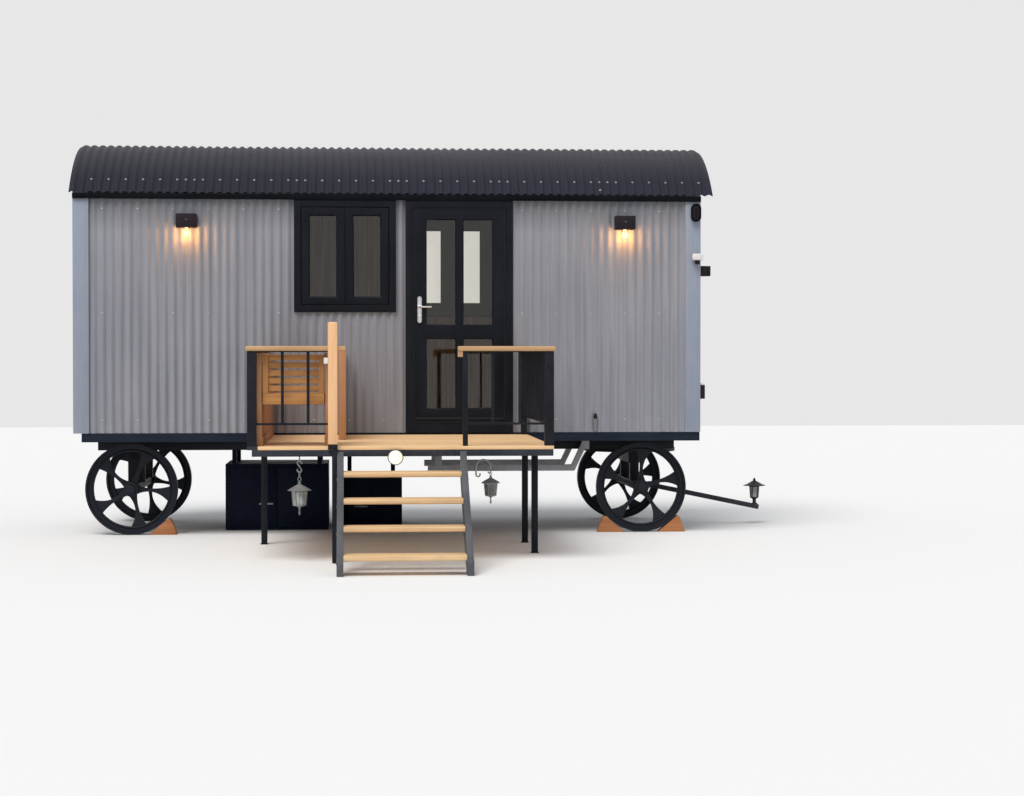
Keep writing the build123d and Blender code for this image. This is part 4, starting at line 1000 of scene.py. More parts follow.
def beads_for(panes, face_y, glass_y, name, body):
    """Beads and gaskets on both sides of a row of panes."""
    inset = 0.0055
    slopes, rubbers = [], []
    for left, right, foot, head in panes:
        for side, face, glass in ((-1, face_y[0], glass_y[0]), (1, face_y[1], glass_y[1])):
            depth = abs(face - glass) - 0.001
            slopes.append(bead(left, right, foot, head, glass, side, 0.006, depth * 0.82))
            inner = (left + inset, right - inset, foot + inset, head - inset)
            rubbers.append(bead(*inner, glass, side, 0.0025, 0.003))
    dress(joined(slopes), name + "_beads", FRAME_PAINT, body)
    dress(joined(rubbers), name + "_gaskets", GASKET, body)


print("beads and gaskets ready")

# %% Window frames, sashes and beads
dress_copy("window_frames", "window_surrounds", FRAME_PAINT, 0.004, rounds=3)
dress_copy("window_sashes", "window_casements", FRAME_PAINT, 0.006, rounds=3)
casement_offset = 0.063
casement_gap = 0.003
sash_face = 0.068
sash_low, sash_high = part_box("window_sashes")
glass_low, glass_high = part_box("window_glass")
casement_wide = (window_wide - 2 * casement_offset - casement_gap) / 2
seals = []
for label, start, wall_face, way in (
    ("front_window", frames_low.x, frames_low.y, 1),
    ("back_window", frames_high.x - window_wide, frames_high.y, -1),
):
    panes = []
    for first in (start + casement_offset, start + casement_offset + casement_wide + casement_gap):
        panes.append((first + sash_face, first + casement_wide - sash_face, glass_low.z, glass_high.z))
    sash_faces = sorted((wall_face + way * 0.006, wall_face + way * 0.062))
    glass_faces = sorted((wall_face + way * 0.022, wall_face + way * 0.046))
    beads_for(panes, sash_faces, glass_faces, label, "hut")
    gap = start + casement_offset + casement_wide
    low = (gap + 0.0003, sash_faces[0] + 0.006, sash_low.z + 0.002)
    high = (gap + casement_gap - 0.0003, sash_faces[1] - 0.006, sash_high.z - 0.002)
    seals.append(bar(low, high, 0.0005, 1))
dress(joined(seals), "casement_seals", GASKET)

# %% [markdown]
# ## The door
# The leaf has two tall panes over two lower ones. It carries the same beads, a dark alloy weather bar along
# its foot that throws rain clear of the sill, and a long lever plate. The leaf and all on it ride on the
# door's body, so they swing together, and the lever turns on a body of its own.

# %% Door frame and leaf
dress_copy("door_frame", "door_surround", FRAME_PAINT, 0.003)
dress_copy("door_leaf", "door_panel", FRAME_PAINT, 0.004, "door")
pane_low, pane_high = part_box("door_glass")
leaf_low, leaf_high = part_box("door_leaf")
mullion = 0.059
pane_wide = (pane_high.x - pane_low.x - mullion) / 2
mid_rail_foot = leaf_low.z + 0.727
mid_rail_head = mid_rail_foot + 0.113
door_panes = []
for first in (pane_low.x, pane_low.x + pane_wide + mullion):
    door_panes.append((first, first + pane_wide, pane_low.z, mid_rail_foot))
    door_panes.append((first, first + pane_wide, mid_rail_head, pane_high.z))
leaf_thick = 0.06
leaf_faces = (leaf_low.y, leaf_low.y + leaf_thick)
beads_for(door_panes, leaf_faces, (pane_low.y, pane_high.y), "door", "door")

jamb = 0.068
jamb_left, jamb_right = door_low.x + jamb, door_high.x - jamb
seal_front, seal_back = leaf_low.y - 0.0045, leaf_low.y - 0.0008
seal_foot, seal_head = leaf_low.z + 0.001, leaf_high.z + 0.004
leaf_seals = [
    bar((left, seal_front, foot), (right, seal_back, seal_head), 0.001, 1)
    for left, right, foot in (
        (jamb_left - 0.001, jamb_left + 0.011, seal_foot),
        (jamb_right - 0.011, jamb_right + 0.001, seal_foot),
        (jamb_left + 0.0112, jamb_right - 0.0112, leaf_high.z - 0.006),
    )
]
dress(joined(leaf_seals), "door_seals", GASKET)

# %% Threshold and weather bar
alloy = Finish("weather_bar_alloy", Specular_IOR_Level=0.12)
alloy.feed(
    Base_Color=alloy.blend((0.008, 0.0095, 0.014), (0.018, 0.020, 0.026), alloy.noise(30, 3, (0.1, 1, 1))),
    Roughness=alloy.ramp(alloy.noise(12, 3), 0.3, 0.7, 0.3, 0.5),
)
weather_bar = bar(
    (leaf_low.x + 0.012, leaf_low.y - 0.018, leaf_low.z + 0.012),
    (leaf_low.x + 0.79, leaf_low.y + 0.001, leaf_low.z + 0.034),
    0,
)
edit(weather_bar)
pick(weather_bar, lambda middle, outward: outward.y < -0.9)
bpy.ops.transform.translate(value=(0, 0, -0.006))
bpy.ops.mesh.select_all(action="SELECT")
bpy.ops.mesh.bevel(offset=0.003, segments=3, affect="EDGES")
dress(weather_bar, "door_weather_bar", alloy, "door")
sill_plate = bar(
    (jamb_left, door_low.y - 0.004, door_low.z + 0.088),
    (jamb_right, door_low.y + 0.05, door_low.z + 0.101),
    0.003,
    3,
)
dress(sill_plate, "door_sill_plate", alloy, "hut")

# %% [markdown]
# ## Handles
# The plate is a long round-ended strip of chromed metal with a keyhole cylinder, and the lever is a round bar
# that leaves the plate on a rose and turns back towards the door. Chrome shows its shape by what it mirrors,
# so the finish is nearly smooth, with faint wipe marks in its roughness.

# %% Chrome and handle plates
chrome = Finish("handle_chrome", Metallic=1.0)
chrome.feed(
    Base_Color=chrome.blend((0.7, 0.7, 0.71), (0.82, 0.82, 0.82), chrome.noise(8, 3)),
    Roughness=chrome.ramp(chrome.noise(35, 3, (1, 1, 0.2)), 0.35, 0.7, 0.12, 0.26),
)
plate_low, plate_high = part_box("door_handle_plates")
lever_low, lever_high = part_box("door_lever")
spindle_x = (plate_low.x + plate_high.x) / 2
lever_z = (lever_low.z + lever_high.z) / 2
cylinder_z = plate_low.z + 0.056
leaf_middle = (leaf_faces[0] + leaf_faces[1]) / 2


def handle_plate(front_y, out):
    """A round-ended plate with a keyhole cylinder and a rose for the lever."""
    depth = 0.0078
    low_y, high_y = sorted((front_y, front_y + out * depth))
    plate = bar((plate_low.x, low_y, plate_low.z), (plate_high.x, high_y, plate_high.z), 0)
    edit(plate)
    pick(plate, lambda middle, edge: abs(middle.y - (low_y + high_y) / 2) < 0.0001, "EDGE")
    bpy.ops.mesh.bevel(offset=0.0185, segments=6, affect="EDGES")
    let_go()
    parts = [soften(plate, 0.0018)]
    for height, radius, proud in ((lever_z, 0.0165, 0.011), (cylinder_z, 0.0115, 0.0125)):
        face, end = front_y + out * depth * 0.6, front_y + out * proud
        rose = [(radius, face), (radius, end - out * 0.0015), (radius - 0.002, end), (0, end)]
        parts.append(lengthwise(rose, (spindle_x, 0, height), 20))
    return parts


plates = handle_plate(leaf_faces[0], -1) + handle_plate(leaf_faces[1], 1)
dress(joined(plates), "handle_plates", chrome, "door", ("door_handle_plates",), 40)

# %% Lever
def lever_arm(out):
    """The round arm on one side: out of the rose, round a bend and along to its tip."""
    face_y = leaf_middle + out * (leaf_middle - leaf_faces[0])
    reach_y = lever_low.y + 0.009 if out < 0 else lever_high.y - 0.009
    tip_x = lever_high.x - 0.003
    radius = 0.0085
    start = Vector((spindle_x, face_y + out * 0.009, lever_z))
    let_go()
    bpy.ops.mesh.primitive_circle_add(
        vertices=14, radius=radius, fill_type="NGON", location=start, rotation=(math.radians(90), 0, 0)
    )
    arm = settle()
    edit(arm)
    bend = 0.014
    straight = abs(reach_y - start.y) - bend
    push((0, out * straight, 0))
    bend_x = spindle_x + bend
    bend_y = start.y + out * straight
    quarter = -out * math.radians(90)
    bpy.ops.mesh.spin(steps=6, angle=quarter, center=(bend_x, bend_y, lever_z), axis=(0, 0, 1))
    push((tip_x - bend_x, 0, 0))
    bpy.ops.mesh.bevel(offset=0.004, segments=3, affect="EDGES")
    face_out()
    return arm


arms = joined([lever_arm(-1), lever_arm(1)])
lever = dress(arms, "lever_handles", chrome, "lever", ("door_lever",), 40)
print("lever from", [round(value, 3) for value in lever.bound_box[0]])

# %% [markdown]
# ## Wall lights
# Each light is a black box that is open below, with a warm bulb under it. The box is a cube whose lower face
# is inset and pushed up, which leaves thin walls. A bulb is a turned form, so its half outline is traced and
# spun. It glows by itself, and a small warm lamp inside it throws the glow on the wall.

# %% Light finishes
LAMP_BLACK = board_paint(
    "lamp_black_coat", (0.015, 0.011, 0.015), (0.025, 0.019, 0.025), (1, 1, 1), 0.5, grain=0.00008, sheen=0.12
)
BULB = Finish("bulb_glow", Base_Color=(0.5, 0.35, 0.2), Roughness=0.3, Emission_Strength=1.1)
warmer = BULB.ramp(BULB.noise(30, 2), 0.4, 0.7)
BULB.feed(Emission_Color=BULB.blend((1.0, 0.87, 0.6), (1.0, 0.78, 0.42), warmer))
LENS = Finish("sensor_lens", Base_Color=(0.075, 0.065, 0.08), Specular_IOR_Level=0.25)
LENS.feed(Roughness=LENS.ramp(LENS.noise(200, 2), 0.3, 0.7, 0.4, 0.55))
print("light finishes ready")

# %% Shades and bulbs
shade_low, shade_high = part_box("wall_light_shades")
bulb_low, bulb_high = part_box("wall_light_bulbs")
shade_wide = 0.175
shade_hollow = 0.108
eye_up = 0.068
bulb_radius = 0.03
holder = [(0, 0.11), (0.018, 0.11), (0.018, 0.03), (0.0155, 0.026), (0, 0.026)]
pear = [
    (0, 0), (0.011, 0.002), (0.021, 0.009), (0.028, 0.02), (0.03, 0.031), (0.0285, 0.042), (0.0235, 0.054),
    (0.017, 0.067), (0.0145, 0.08), (0.0145, 0.106),
]
eye = [(0, -0.008), (0.005, -0.0068), (0.0088, -0.003), (0.01, 0.001)]
bulb_y = (bulb_low.y + bulb_high.y) / 2
shades, bulbs, lenses = [], [], []
for middle_x in (bulb_low.x + bulb_radius, bulb_high.x - bulb_radius):
    low = (middle_x - shade_wide / 2, shade_low.y, shade_low.z)
    shade = bar(low, (middle_x + shade_wide / 2, shade_high.y, shade_high.z), 0)
    edit(shade)
    pick(shade, lambda middle, outward: outward.z < -0.9)
    bpy.ops.mesh.inset(thickness=0.005, depth=0)
    push((0, 0, shade_hollow))
    let_go()
    shades.append(soften(shade, 0.002, 2, 40))
    shades.append(upright(holder, (middle_x, bulb_y, shade_low.z), 20))
    bulbs.append(upright(pear, (middle_x, bulb_y, bulb_low.z), 24))
    lenses.append(lengthwise(eye, (middle_x, shade_low.y, shade_low.z + eye_up), 16))
    bpy.ops.object.light_add(type="POINT", location=(middle_x, bulb_y, bulb_low.z + bulb_radius))
    lamp = bpy.context.object.data
    lamp.energy, lamp.color, lamp.shadow_soft_size = 5.0, (1.0, 0.46, 0.14), 0.08
dress(joined(shades), "light_shades", LAMP_BLACK, stands_for=("wall_light_shades",))
glow = dress(joined(bulbs), "light_bulbs", BULB, "hut", ("wall_light_bulbs",), 60)
glow.visible_shadow = False
dress(joined(lenses), "light_sensors", LENS, smooth=60)

# %% [markdown]
# ## Small fittings at the right-hand corner
# An oval vent cowl, a white sensor on a dark foot, a square junction box, a box with a pale lid for the water
# tap, and an outlet with a mushroom cap all sit near the right-hand end. They are small but break up the
# plain corner, so each gets its own form.

# %% Finishes of the fittings
WHITE_PLASTIC = Finish("white_plastic", Specular_IOR_Level=0.5)
WHITE_PLASTIC.feed(
    Base_Color=WHITE_PLASTIC.blend((0.66, 0.67, 0.68), (0.8, 0.8, 0.8), WHITE_PLASTIC.noise(18, 3)),
    Roughness=WHITE_PLASTIC.ramp(WHITE_PLASTIC.noise(50, 2), 0.3, 0.7, 0.35, 0.5),
)
GREY_TUBE = board_paint("grey_tube", (0.20, 0.205, 0.215), (0.26, 0.265, 0.27), (1, 1, 0.2), 0.45, 0.0001)
print(WHITE_PLASTIC.material.name, GREY_TUBE.material.name)

# %% Vent cowl
hut_right = wall_high.x
under_eave = WALL_FOOT + 2.138
vent_half = 0.044
vent_x = hut_right - 0.002 - vent_half
vent_z = under_eave - 0.196
low = (vent_x - vent_half, HUT_FRONT - 0.036, vent_z - 0.079)
vent = bar(low, (vent_x + vent_half, HUT_FRONT - 0.001, vent_z + 0.079), 0)
edit(vent)
pick(vent, lambda middle, edge: abs(middle.y - (HUT_FRONT - 0.0185)) < 0.0001, "EDGE")
bpy.ops.mesh.bevel(offset=0.0425, segments=8, affect="EDGES")
pick(vent, lambda middle, outward: outward.y < -0.9)
bpy.ops.mesh.inset(thickness=0.008, depth=0)
push((0, 0.01, 0))
let_go()
dark_parts = [soften(vent, 0.003)]
slat_pitch = 0.0145
for step in range(-4, 5):
    slat_z = vent_z + step * slat_pitch
    half = math.sqrt(max(0.0, 0.036**2 - max(0.0, abs(step) * slat_pitch - 0.035) ** 2))
    low = (vent_x - half, HUT_FRONT - 0.032, slat_z - 0.0015)
    slat = bar(low, (vent_x + half, HUT_FRONT - 0.022, slat_z + 0.0015), 0)
    dark_parts.append(moved(slat, about((vent_x, HUT_FRONT - 0.027, slat_z), math.radians(35), "X")))


print("vent at", round(vent_x, 3), round(vent_z, 3))

# %% Sensor
sensor_x = hut_right - 0.034
sensor_z = under_eave - 0.588 - 0.029
low = (sensor_x - 0.046, HUT_FRONT - 0.07, sensor_z)
white_parts = [bar(low, (sensor_x + 0.046, HUT_FRONT - 0.006, sensor_z + 0.058), 0.012, 4)]
sensor_foot = [(0, 0.0), (0.016, 0.0), (0.021, 0.004), (0.022, 0.012), (0.022, 0.034), (0, 0.034)]
dark_parts.append(upright(sensor_foot, (sensor_x, HUT_FRONT - 0.035, sensor_z - 0.034), 20))
low = (sensor_x - 0.016, HUT_FRONT - 0.03, sensor_z - 0.03)
dark_parts.append(bar(low, (sensor_x + 0.016, HUT_FRONT + 0.001, sensor_z - 0.004)))
print("sensor at", round(sensor_x, 3), round(sensor_z, 3))

# %% Junction box and tap box
fitting_y = HUT_FRONT + 0.075
junction_z = under_eave - 0.708
tap_z = WALL_FOOT + 0.364
for parts, start, end, half, foot, head, ease in (
    (dark_parts, -0.001, 0.07, 0.045, junction_z - 0.045, junction_z + 0.045, 0.006),
    (dark_parts, 0.0715, 0.095, 0.045, junction_z - 0.045, junction_z + 0.045, 0.006),
    (dark_parts, -0.001, 0.046, 0.046, tap_z - 0.07, tap_z + 0.052, 0.005),
    (white_parts, -0.001, 0.0465, 0.0465, tap_z + 0.053, tap_z + 0.07, 0.005),
):
    low, high = (hut_right + start, fitting_y - half, foot), (hut_right + end, fitting_y + half, head)
    parts.append(bar(low, high, ease, 3))


print(len(dark_parts), "dark parts and", len(white_parts), "white ones")

# %% Outlet, and all fittings joined
outlet = at(1.810, 0.006 - 0.016, WALL_FOOT + 0.01)
tube = [(0, 0), (0.0135, 0), (0.0135, 0.118), (0, 0.118)]
cap = [
    (0, 0.112), (0.0155, 0.112), (0.016, 0.128), (0.014, 0.142), (0.0115, 0.152), (0.006, 0.158), (0, 0.16),
]
grey_tube = upright(tube, outlet, 18)
dark_parts.append(upright(cap, outlet, 18))
dress(joined(dark_parts), "corner_fittings_dark", LAMP_BLACK, "hut", ("corner_fittings",))
dress(joined(white_parts), "corner_fittings_white", WHITE_PLASTIC)
dress(grey_tube, "outlet_tube", GREY_TUBE)

# %% [markdown]
# ## Cast wheels
# A hut wheel is one iron casting: a broad tread, a web inside it with a round bead, five curved spokes that
# flare where they meet the rim, and a stepped hub with a cap. The rim and the hub are turned. A spoke is one
# face that is extruded outward step by step, moved sideways and widened as it goes, then panelled by an
# inset. It is made once and turned to its five places.

# %% Cast iron
def cast_iron():
    """Blue-black paint over rough cast iron, with a little rust where it is chipped and at the tread."""
    iron = Finish("wheel_cast_iron", Specular_IOR_Level=0.14)
    cloud = iron.noise(7, 4)
    pits = iron.noise(160, 3)
    low_down = iron.ramp(iron.height(), 0.5, 0.02, 0.25, 1.0)
    rust = iron.ramp(iron.noise(13, 5, rough=0.65), 0.62, 0.72) * low_down
    paint = iron.blend((0.010, 0.0125, 0.0195), (0.022, 0.025, 0.033), cloud)
    iron.feed(
        Base_Color=iron.blend(paint, (0.085, 0.04, 0.02), rust * 0.7),
        Roughness=iron.ramp(cloud, 0.3, 0.7, 0.42, 0.6) + rust * 0.25,
        Normal=iron.bump(pits, 0.0006),
    )
    return iron


IRON = cast_iron()
print(IRON.material.name)

# %% Outlines of rim and hub
HALF_TRACK = 0.785
SPOKES = 5
rim_outline = [
    (0.4015, -0.045), (0.4035, -0.042), (0.4035, 0.042), (0.4015, 0.045), (0.387, 0.045),
    (0.384, 0.041), (0.3795, 0.018), (0.353, 0.0155), (0.348, 0.0215), (0.3405, 0.025),
    (0.3335, 0.0215), (0.3315, 0.014), (0.3315, -0.014), (0.3335, -0.0215), (0.3405, -0.025),
    (0.348, -0.0215), (0.353, -0.0155), (0.3795, -0.018), (0.384, -0.041), (0.387, -0.045),
    (0.4015, -0.045),
]
hub_outline = [
    (0, 0), (0.03, 0), (0.037, 0.002), (0.041, 0.007), (0.041, 0.0225), (0.056, 0.0225),
    (0.063, 0.026), (0.066, 0.033), (0.066, 0.05), (0.061, 0.056), (0.061, 0.116),
    (0.066, 0.122), (0.066, 0.156), (0.062, 0.162), (0.027, 0.162),
]
print(len(rim_outline), "points round the rim")

# %% One spoke
def between(three, share):
    """The height at a share of the way along a curve through three heights."""
    start, middle, end = three
    from_ends = start * (1 - share) * (1 - 2 * share) + end * share * (2 * share - 1)
    return from_ends + middle * 4 * share * (1 - share)


def spoke(bow):
    """One spoke along +X from a wheel's middle at the origin. bow is the side that it curves to."""
    low_edge, high_edge = (-0.037, -0.003, -0.075), (0.037, 0.031, 0.075)
    root, tip, steps, half_deep = 0.054, 0.341, 10, 0.017
    let_go()
    bpy.ops.mesh.primitive_plane_add(size=1, location=(root, 0, 0), rotation=(0, math.radians(90), 0))
    piece = bpy.context.object
    piece.scale = (high_edge[0] - low_edge[0], half_deep * 2, 1)
    settle()
    edit(piece)
    reach, wide, lean = root, high_edge[0] - low_edge[0], (high_edge[0] + low_edge[0]) / 2
    for step in range(1, steps + 1):
        share = step / steps
        next_reach = root + (tip - root) * share
        next_wide = between(high_edge, share) - between(low_edge, share)
        next_lean = (between(high_edge, share) + between(low_edge, share)) / 2
        push((next_reach - reach, 0, next_lean - lean))
        bpy.ops.transform.resize(value=(1, 1, next_wide / wide), center_override=(next_reach, 0, next_lean))
        reach, wide, lean = next_reach, next_wide, next_lean
    bpy.ops.mesh.select_all(action="SELECT")
    bpy.ops.mesh.normals_make_consistent(inside=False)
    pick(piece, lambda middle, outward: abs(outward.y) > 0.9)
    bpy.ops.mesh.inset(thickness=0.007, depth=0)
    bpy.ops.transform.resize(value=(1, 0.62, 1), center_override=(0, 0, 0))
    let_go()
    soften(piece, 0.0025, 2, 35)
    if bow < 0:
        piece.data.transform(Matrix.Scale(-1, 4, (0, 0, 1)))
        edit(piece)
        bpy.ops.mesh.flip_normals()
        let_go()
    return piece


print("spoke ready")

# %% Four wheels
def wheel(node, turn):
    """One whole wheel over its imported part. turn is the angle of its first spoke, as seen from the front."""
    low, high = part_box(node)
    middle = (low + high) / 2
    way = 1 if middle.y < ROOF_MIDDLE else -1
    cap = Vector((middle.x, low.y if way > 0 else high.y, middle.z))
    centre = Vector((middle.x, ROOF_MIDDLE - way * HALF_TRACK, middle.z))
    parts = [lengthwise(rim_outline, centre, 72), lengthwise(hub_outline, cap, 40, way)]
    arm = spoke(way)
    nut = [(0, -0.007), (0.0068, -0.007), (0.0075, -0.006), (0.0075, 0.002), (0, 0.002)]
    nut_reach, nut_in = 0.052, 0.022
    for count in range(SPOKES):
        angle = math.radians(turn + 360 / SPOKES * count)
        parts.append(another(arm, Matrix.Translation(centre) @ Matrix.Rotation(-angle, 4, "Y")))
        between_arms = angle + math.pi / SPOKES
        reach = Vector((math.cos(between_arms) * nut_reach, way * nut_in, math.sin(between_arms) * nut_reach))
        parts.append(lengthwise(nut, cap + reach, 6, way))
    bpy.data.objects.remove(arm)
    return dress(joined(parts), node + "_casting", IRON, node, (node,), 40)


wheel("rear_wheel_near", -8)
wheel("rear_wheel_far", -8)
wheel("lead_wheel_near", 12)
wheel("lead_wheel_far", 12)

# %% [markdown]
# ## Steel under the floor
# The rails, axles, turntable and braces are black or grey rolled steel. Such steel is painted once and then
# forgotten, so its finish has a slightly uneven skin and rust freckles low down. Their
# imported shapes are copied with eased edges, and bolt heads mark where they are fastened.

# %% Steel paint
def steel_paint(name, colour, worn, rough, rusty=0.5, sheen=0.14):
    """Brushed paint on rolled steel, with dust and freckles of rust."""
    paint = Finish(name, Specular_IOR_Level=sheen)
    cloud = paint.noise(4.5, 4)
    fine = paint.noise(45, 3)
    rust = paint.ramp(paint.noise(17, 5, rough=0.65), 0.66, 0.74) * paint.ramp(paint.height(), 0.9, 0.1)
    brushed = paint.blend(colour, worn, paint.ramp(cloud * 0.6 + fine * 0.4, 0.4, 0.65))
    paint.feed(
        Base_Color=paint.blend(brushed, (0.11, 0.05, 0.025), rust * rusty),
        Roughness=paint.ramp(cloud, 0.3, 0.7, rough - 0.08, rough + 0.1),
        Normal=paint.bump(fine, 0.0003),
    )
    return paint


STEEL_BLACK = steel_paint("steel_black_paint", (0.0075, 0.009, 0.0135), (0.016, 0.018, 0.024), 0.46)
STEEL_GREY = steel_paint("steel_grey_paint", (0.40, 0.415, 0.45), (0.54, 0.555, 0.59), 0.45, 0.5, 0.3)
CARRIAGE = steel_paint("carriage_dark_paint", (0.009, 0.010, 0.015), (0.021, 0.022, 0.027), 0.5, 0.8)
# A lighter copy of the carriage paint for the drawbar: painted light, for the highlight along the bar's top.
DRAWBAR_LIT_PAINT = steel_paint("drawbar_lit_paint", (0.024, 0.023, 0.030), (0.048, 0.046, 0.056), 0.5, 0.8)
STAIR_GREY = steel_paint("stair_steel_paint", (0.075, 0.08, 0.09), (0.115, 0.12, 0.132), 0.42, 0.3)
print("steel paints ready")

# %% Bolts
def bolt(place, out, radius=0.009, height=0.008):
    """A six-sided bolt head with a washer, at a place and pointing out."""
    head = [(0, height), (radius * 0.86, height), (radius, height * 0.82), (radius, 0.0015)]
    washer = [(radius * 1.45, 0.0015), (radius * 1.45, -0.001)]
    return moved(upright(head + washer, (0, 0, 0), 6), aimed(Vector(place), out))


print("bolts ready")

# %% Rails, axle and fore carriage
rails_low, rails_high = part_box("chassis_rails")
rail_parts = [eased_copy("chassis_rails", 0.004)]
bolt_pitch, rails_apart = 0.47, 0.72
for count in range(-5, 6):
    for rail_y in (rails_low.y, rails_low.y + rails_apart):
        rail_parts.append(bolt((HUT_MIDDLE + count * bolt_pitch, rail_y, rails_high.z - 0.03), (0, -1, 0)))
dress(joined(rail_parts), "chassis_steel", STEEL_BLACK, "hut", ("chassis_rails",))
dress_copy("rear_axle", "rear_axle_steel", CARRIAGE, 0.003)
dress_copy("drop_braces", "drop_brace_steel", STEEL_GREY, 0.004)
dress_copy("turntable_plate", "turntable_upper", CARRIAGE, 0.002)
dress_copy("fore_carriage", "fore_carriage_steel", CARRIAGE, 0.003, "fore_carriage")
dress_copy("drawbar", "drawbar_steel", DRAWBAR_LIT_PAINT, 0.004, "drawbar")

# %% [markdown]
# ## Boxes under the floor
# Two closed cabinets in a very dark navy hang between the wheels. A cabinet is a box until it has doors, so
# each front gets a pair of doors with a shadow gap between them, hinges and a long grey catch.

# %% Cabinets
navy, rubbed_navy = (0.003, 0.006, 0.0175), (0.007, 0.0115, 0.027)
NAVY = board_paint("cabinet_navy", navy, rubbed_navy, (1, 1, 0.2), 0.45, grain=0.0001, sheen=0.08)
boxes_low, boxes_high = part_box("underfloor_boxes")
large = (boxes_low.x, boxes_low.x + 0.93, boxes_low.y, 0.6)
small = (boxes_high.x - 0.57, boxes_high.x, boxes_high.y - 0.42, 0.44)
cabinet_parts = [eased_copy("underfloor_boxes", 0.005, 3)]
catches = []
for left, right, front_y, top in (large, small):
    middle = (left + right) / 2
    for first, last in ((left + 0.025, middle - 0.003), (middle + 0.003, right - 0.025)):
        cabinet_parts.append(bar((first, front_y - 0.014, 0.035), (last, front_y + 0.001, top - 0.03), 0.004))
    for hinge_x in (left + 0.03, right - 0.03):
        for hinge_z in (0.1, top - 0.1):
            low = (hinge_x - 0.012, front_y - 0.019, hinge_z - 0.03)
            cabinet_parts.append(bar(low, (hinge_x + 0.012, front_y - 0.013, hinge_z + 0.03)))
    low = (middle - 0.161, front_y - 0.024, top * 0.4 - 0.007)
    catches.append(bar(low, (middle - 0.036, front_y - 0.0135, top * 0.4 + 0.007), 0.004, 3))
dress(joined(cabinet_parts), "cabinets", NAVY, stands_for=("underfloor_boxes",))
dress(joined(catches), "cabinet_catches", STEEL_GREY)

# %% [markdown]
# ## Timber of the deck
# Softwood boards show long streaks along the grain, a few knots, and a tone of their own for each board.
# The noise is drawn out along the grain and shifted by the board's number, so that no two boards match. A
# grain can run along any of the three axes, so each timber comes as three finishes and `boards` picks one
# for each board.

# %% Timber finish
def timber(name, pale_tone, dark_tone, rough=0.55, knotty=0.6, weathered=0.0):
    """The same wood three times, with its grain along X, Y and Z."""
    kinds = []
    for axis, letter in enumerate("xyz"):
        wood = Finish(name + "_" + letter, Specular_IOR_Level=0.35)
        number = wood.node("ShaderNodeAttribute", {"attribute_name": "board"}, {}, "Fac")
        far_off = wood.node("ShaderNodeCombineXYZ", {}, {0: number * 31, 1: number * 17, 2: number * 23})
        wood.place = wood.node("ShaderNodeVectorMath", {"operation": "ADD"}, {0: wood.place, 1: far_off})
        stretch = tuple(0.05 if other == axis else 1 for other in range(3))
        short = tuple(0.3 if other == axis else 1 for other in range(3))
        streak = wood.noise(48, 5, stretch, 0.6)
        bands = wood.noise(13, 3, stretch)
        knots = wood.ramp(wood.noise(9, 2, short), 0.7, 0.78) * knotty
        tone = wood.ramp(streak * 0.55 + bands * 0.45, 0.36, 0.64)
        body_colour = wood.blend(pale_tone, dark_tone, tone * 0.75 + number * 0.35 - 0.05)
        aged = wood.blend(body_colour, (0.3, 0.27, 0.23), wood.ramp(wood.noise(5, 4), 0.45, 0.75) * weathered)
        wood.feed(
            Base_Color=wood.blend(aged, tuple(value * 0.35 for value in dark_tone), knots),
            Roughness=wood.ramp(streak, 0.3, 0.7, rough - 0.06, rough + 0.12),
            Normal=wood.bump(streak, 0.0004),
        )
        kinds.append(wood)
    return kinds


DECKING = timber("decking_timber", (0.96, 0.66, 0.37), (0.78, 0.48, 0.24), 0.55, 0.6, 0.12)
RAIL_TIMBER = timber("handrail_timber", (0.60, 0.38, 0.20), (0.40, 0.225, 0.10), 0.5, 0.5)
TREAD_TIMBER = timber("tread_timber", (0.82, 0.57, 0.32), (0.56, 0.34, 0.16), 0.6, 0.5, 0.2)
PLANK_TIMBER = timber("marker_timber", (0.90, 0.55, 0.30), (0.72, 0.39, 0.185), 0.5, 0.5)
SLAT_TIMBER = timber("slat_timber", (0.57, 0.27, 0.085), (0.34, 0.135, 0.036), 0.45, 0.5)
SCREEN_TIMBER = timber("seat_timber", (0.58, 0.30, 0.145), (0.34, 0.155, 0.068), 0.5, 0.5)
CHOCK_TIMBER = timber("chock_timber", (0.50, 0.21, 0.085), (0.30, 0.11, 0.04), 0.7, 0.4)
print("timbers ready")

# %% [markdown]
# ## Deck boards and frame
# The deck is laid with sixteen boards along the hut, with 5 mm gaps that let the rain through. One board is
# modelled, eased, and copied. Pairs of screws sit over each joist. Below lies a frame of dark steel, whose
# face shows as a grey line under the boards, and the last 80 mm at their left end is a dark strip in the same
# finish.

# %% Deck boards
deck_low, deck_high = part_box("deck_boards")
board_count = 16
board_gap = 0.005
board_wide = (deck_high.y - deck_low.y + board_gap) / board_count - board_gap
strip_right = at(-1.051, 0, 0).x
board_step = board_wide + board_gap
low = (strip_right + 0.001, deck_low.y, deck_low.z)
first_board = bar(low, (deck_high.x, deck_low.y + board_wide, deck_high.z), 0.003)
edit(first_board)
bpy.ops.mesh.select_all(action="SELECT")
bpy.ops.mesh.bisect(plane_co=(HUT_MIDDLE, 0, 0), plane_no=(1, 0, 0))
let_go()
deck_parts = [first_board]
for count in range(1, board_count):
    deck_parts.append(another(first_board, shift(y=board_step * count)))
dress(boards(joined(deck_parts), 5), "decking", DECKING, "hut", ("deck_boards",))
print(board_count, "boards of", round(board_wide, 3))

# %% Deck screws
deck_screw = upright([(0, 0.0006), (0.0028, 0.0006), (0.0038, 0.0), (0.0038, -0.001)], (0, 0, 0), 6)
joists = 5
deck_screws = []
for count in range(board_count):
    for joist in range(joists):
        screw_x = strip_right + 0.03 + (deck_high.x - strip_right - 0.06) * joist / (joists - 1)
        for inset in (0.3, 0.7):
            screw_y = deck_low.y + board_step * count + board_wide * inset
            deck_screws.append(another(deck_screw, shift(screw_x, screw_y, deck_high.z - 0.0004)))
bpy.data.objects.remove(deck_screw)
dress(joined(deck_screws), "deck_screws", bright)

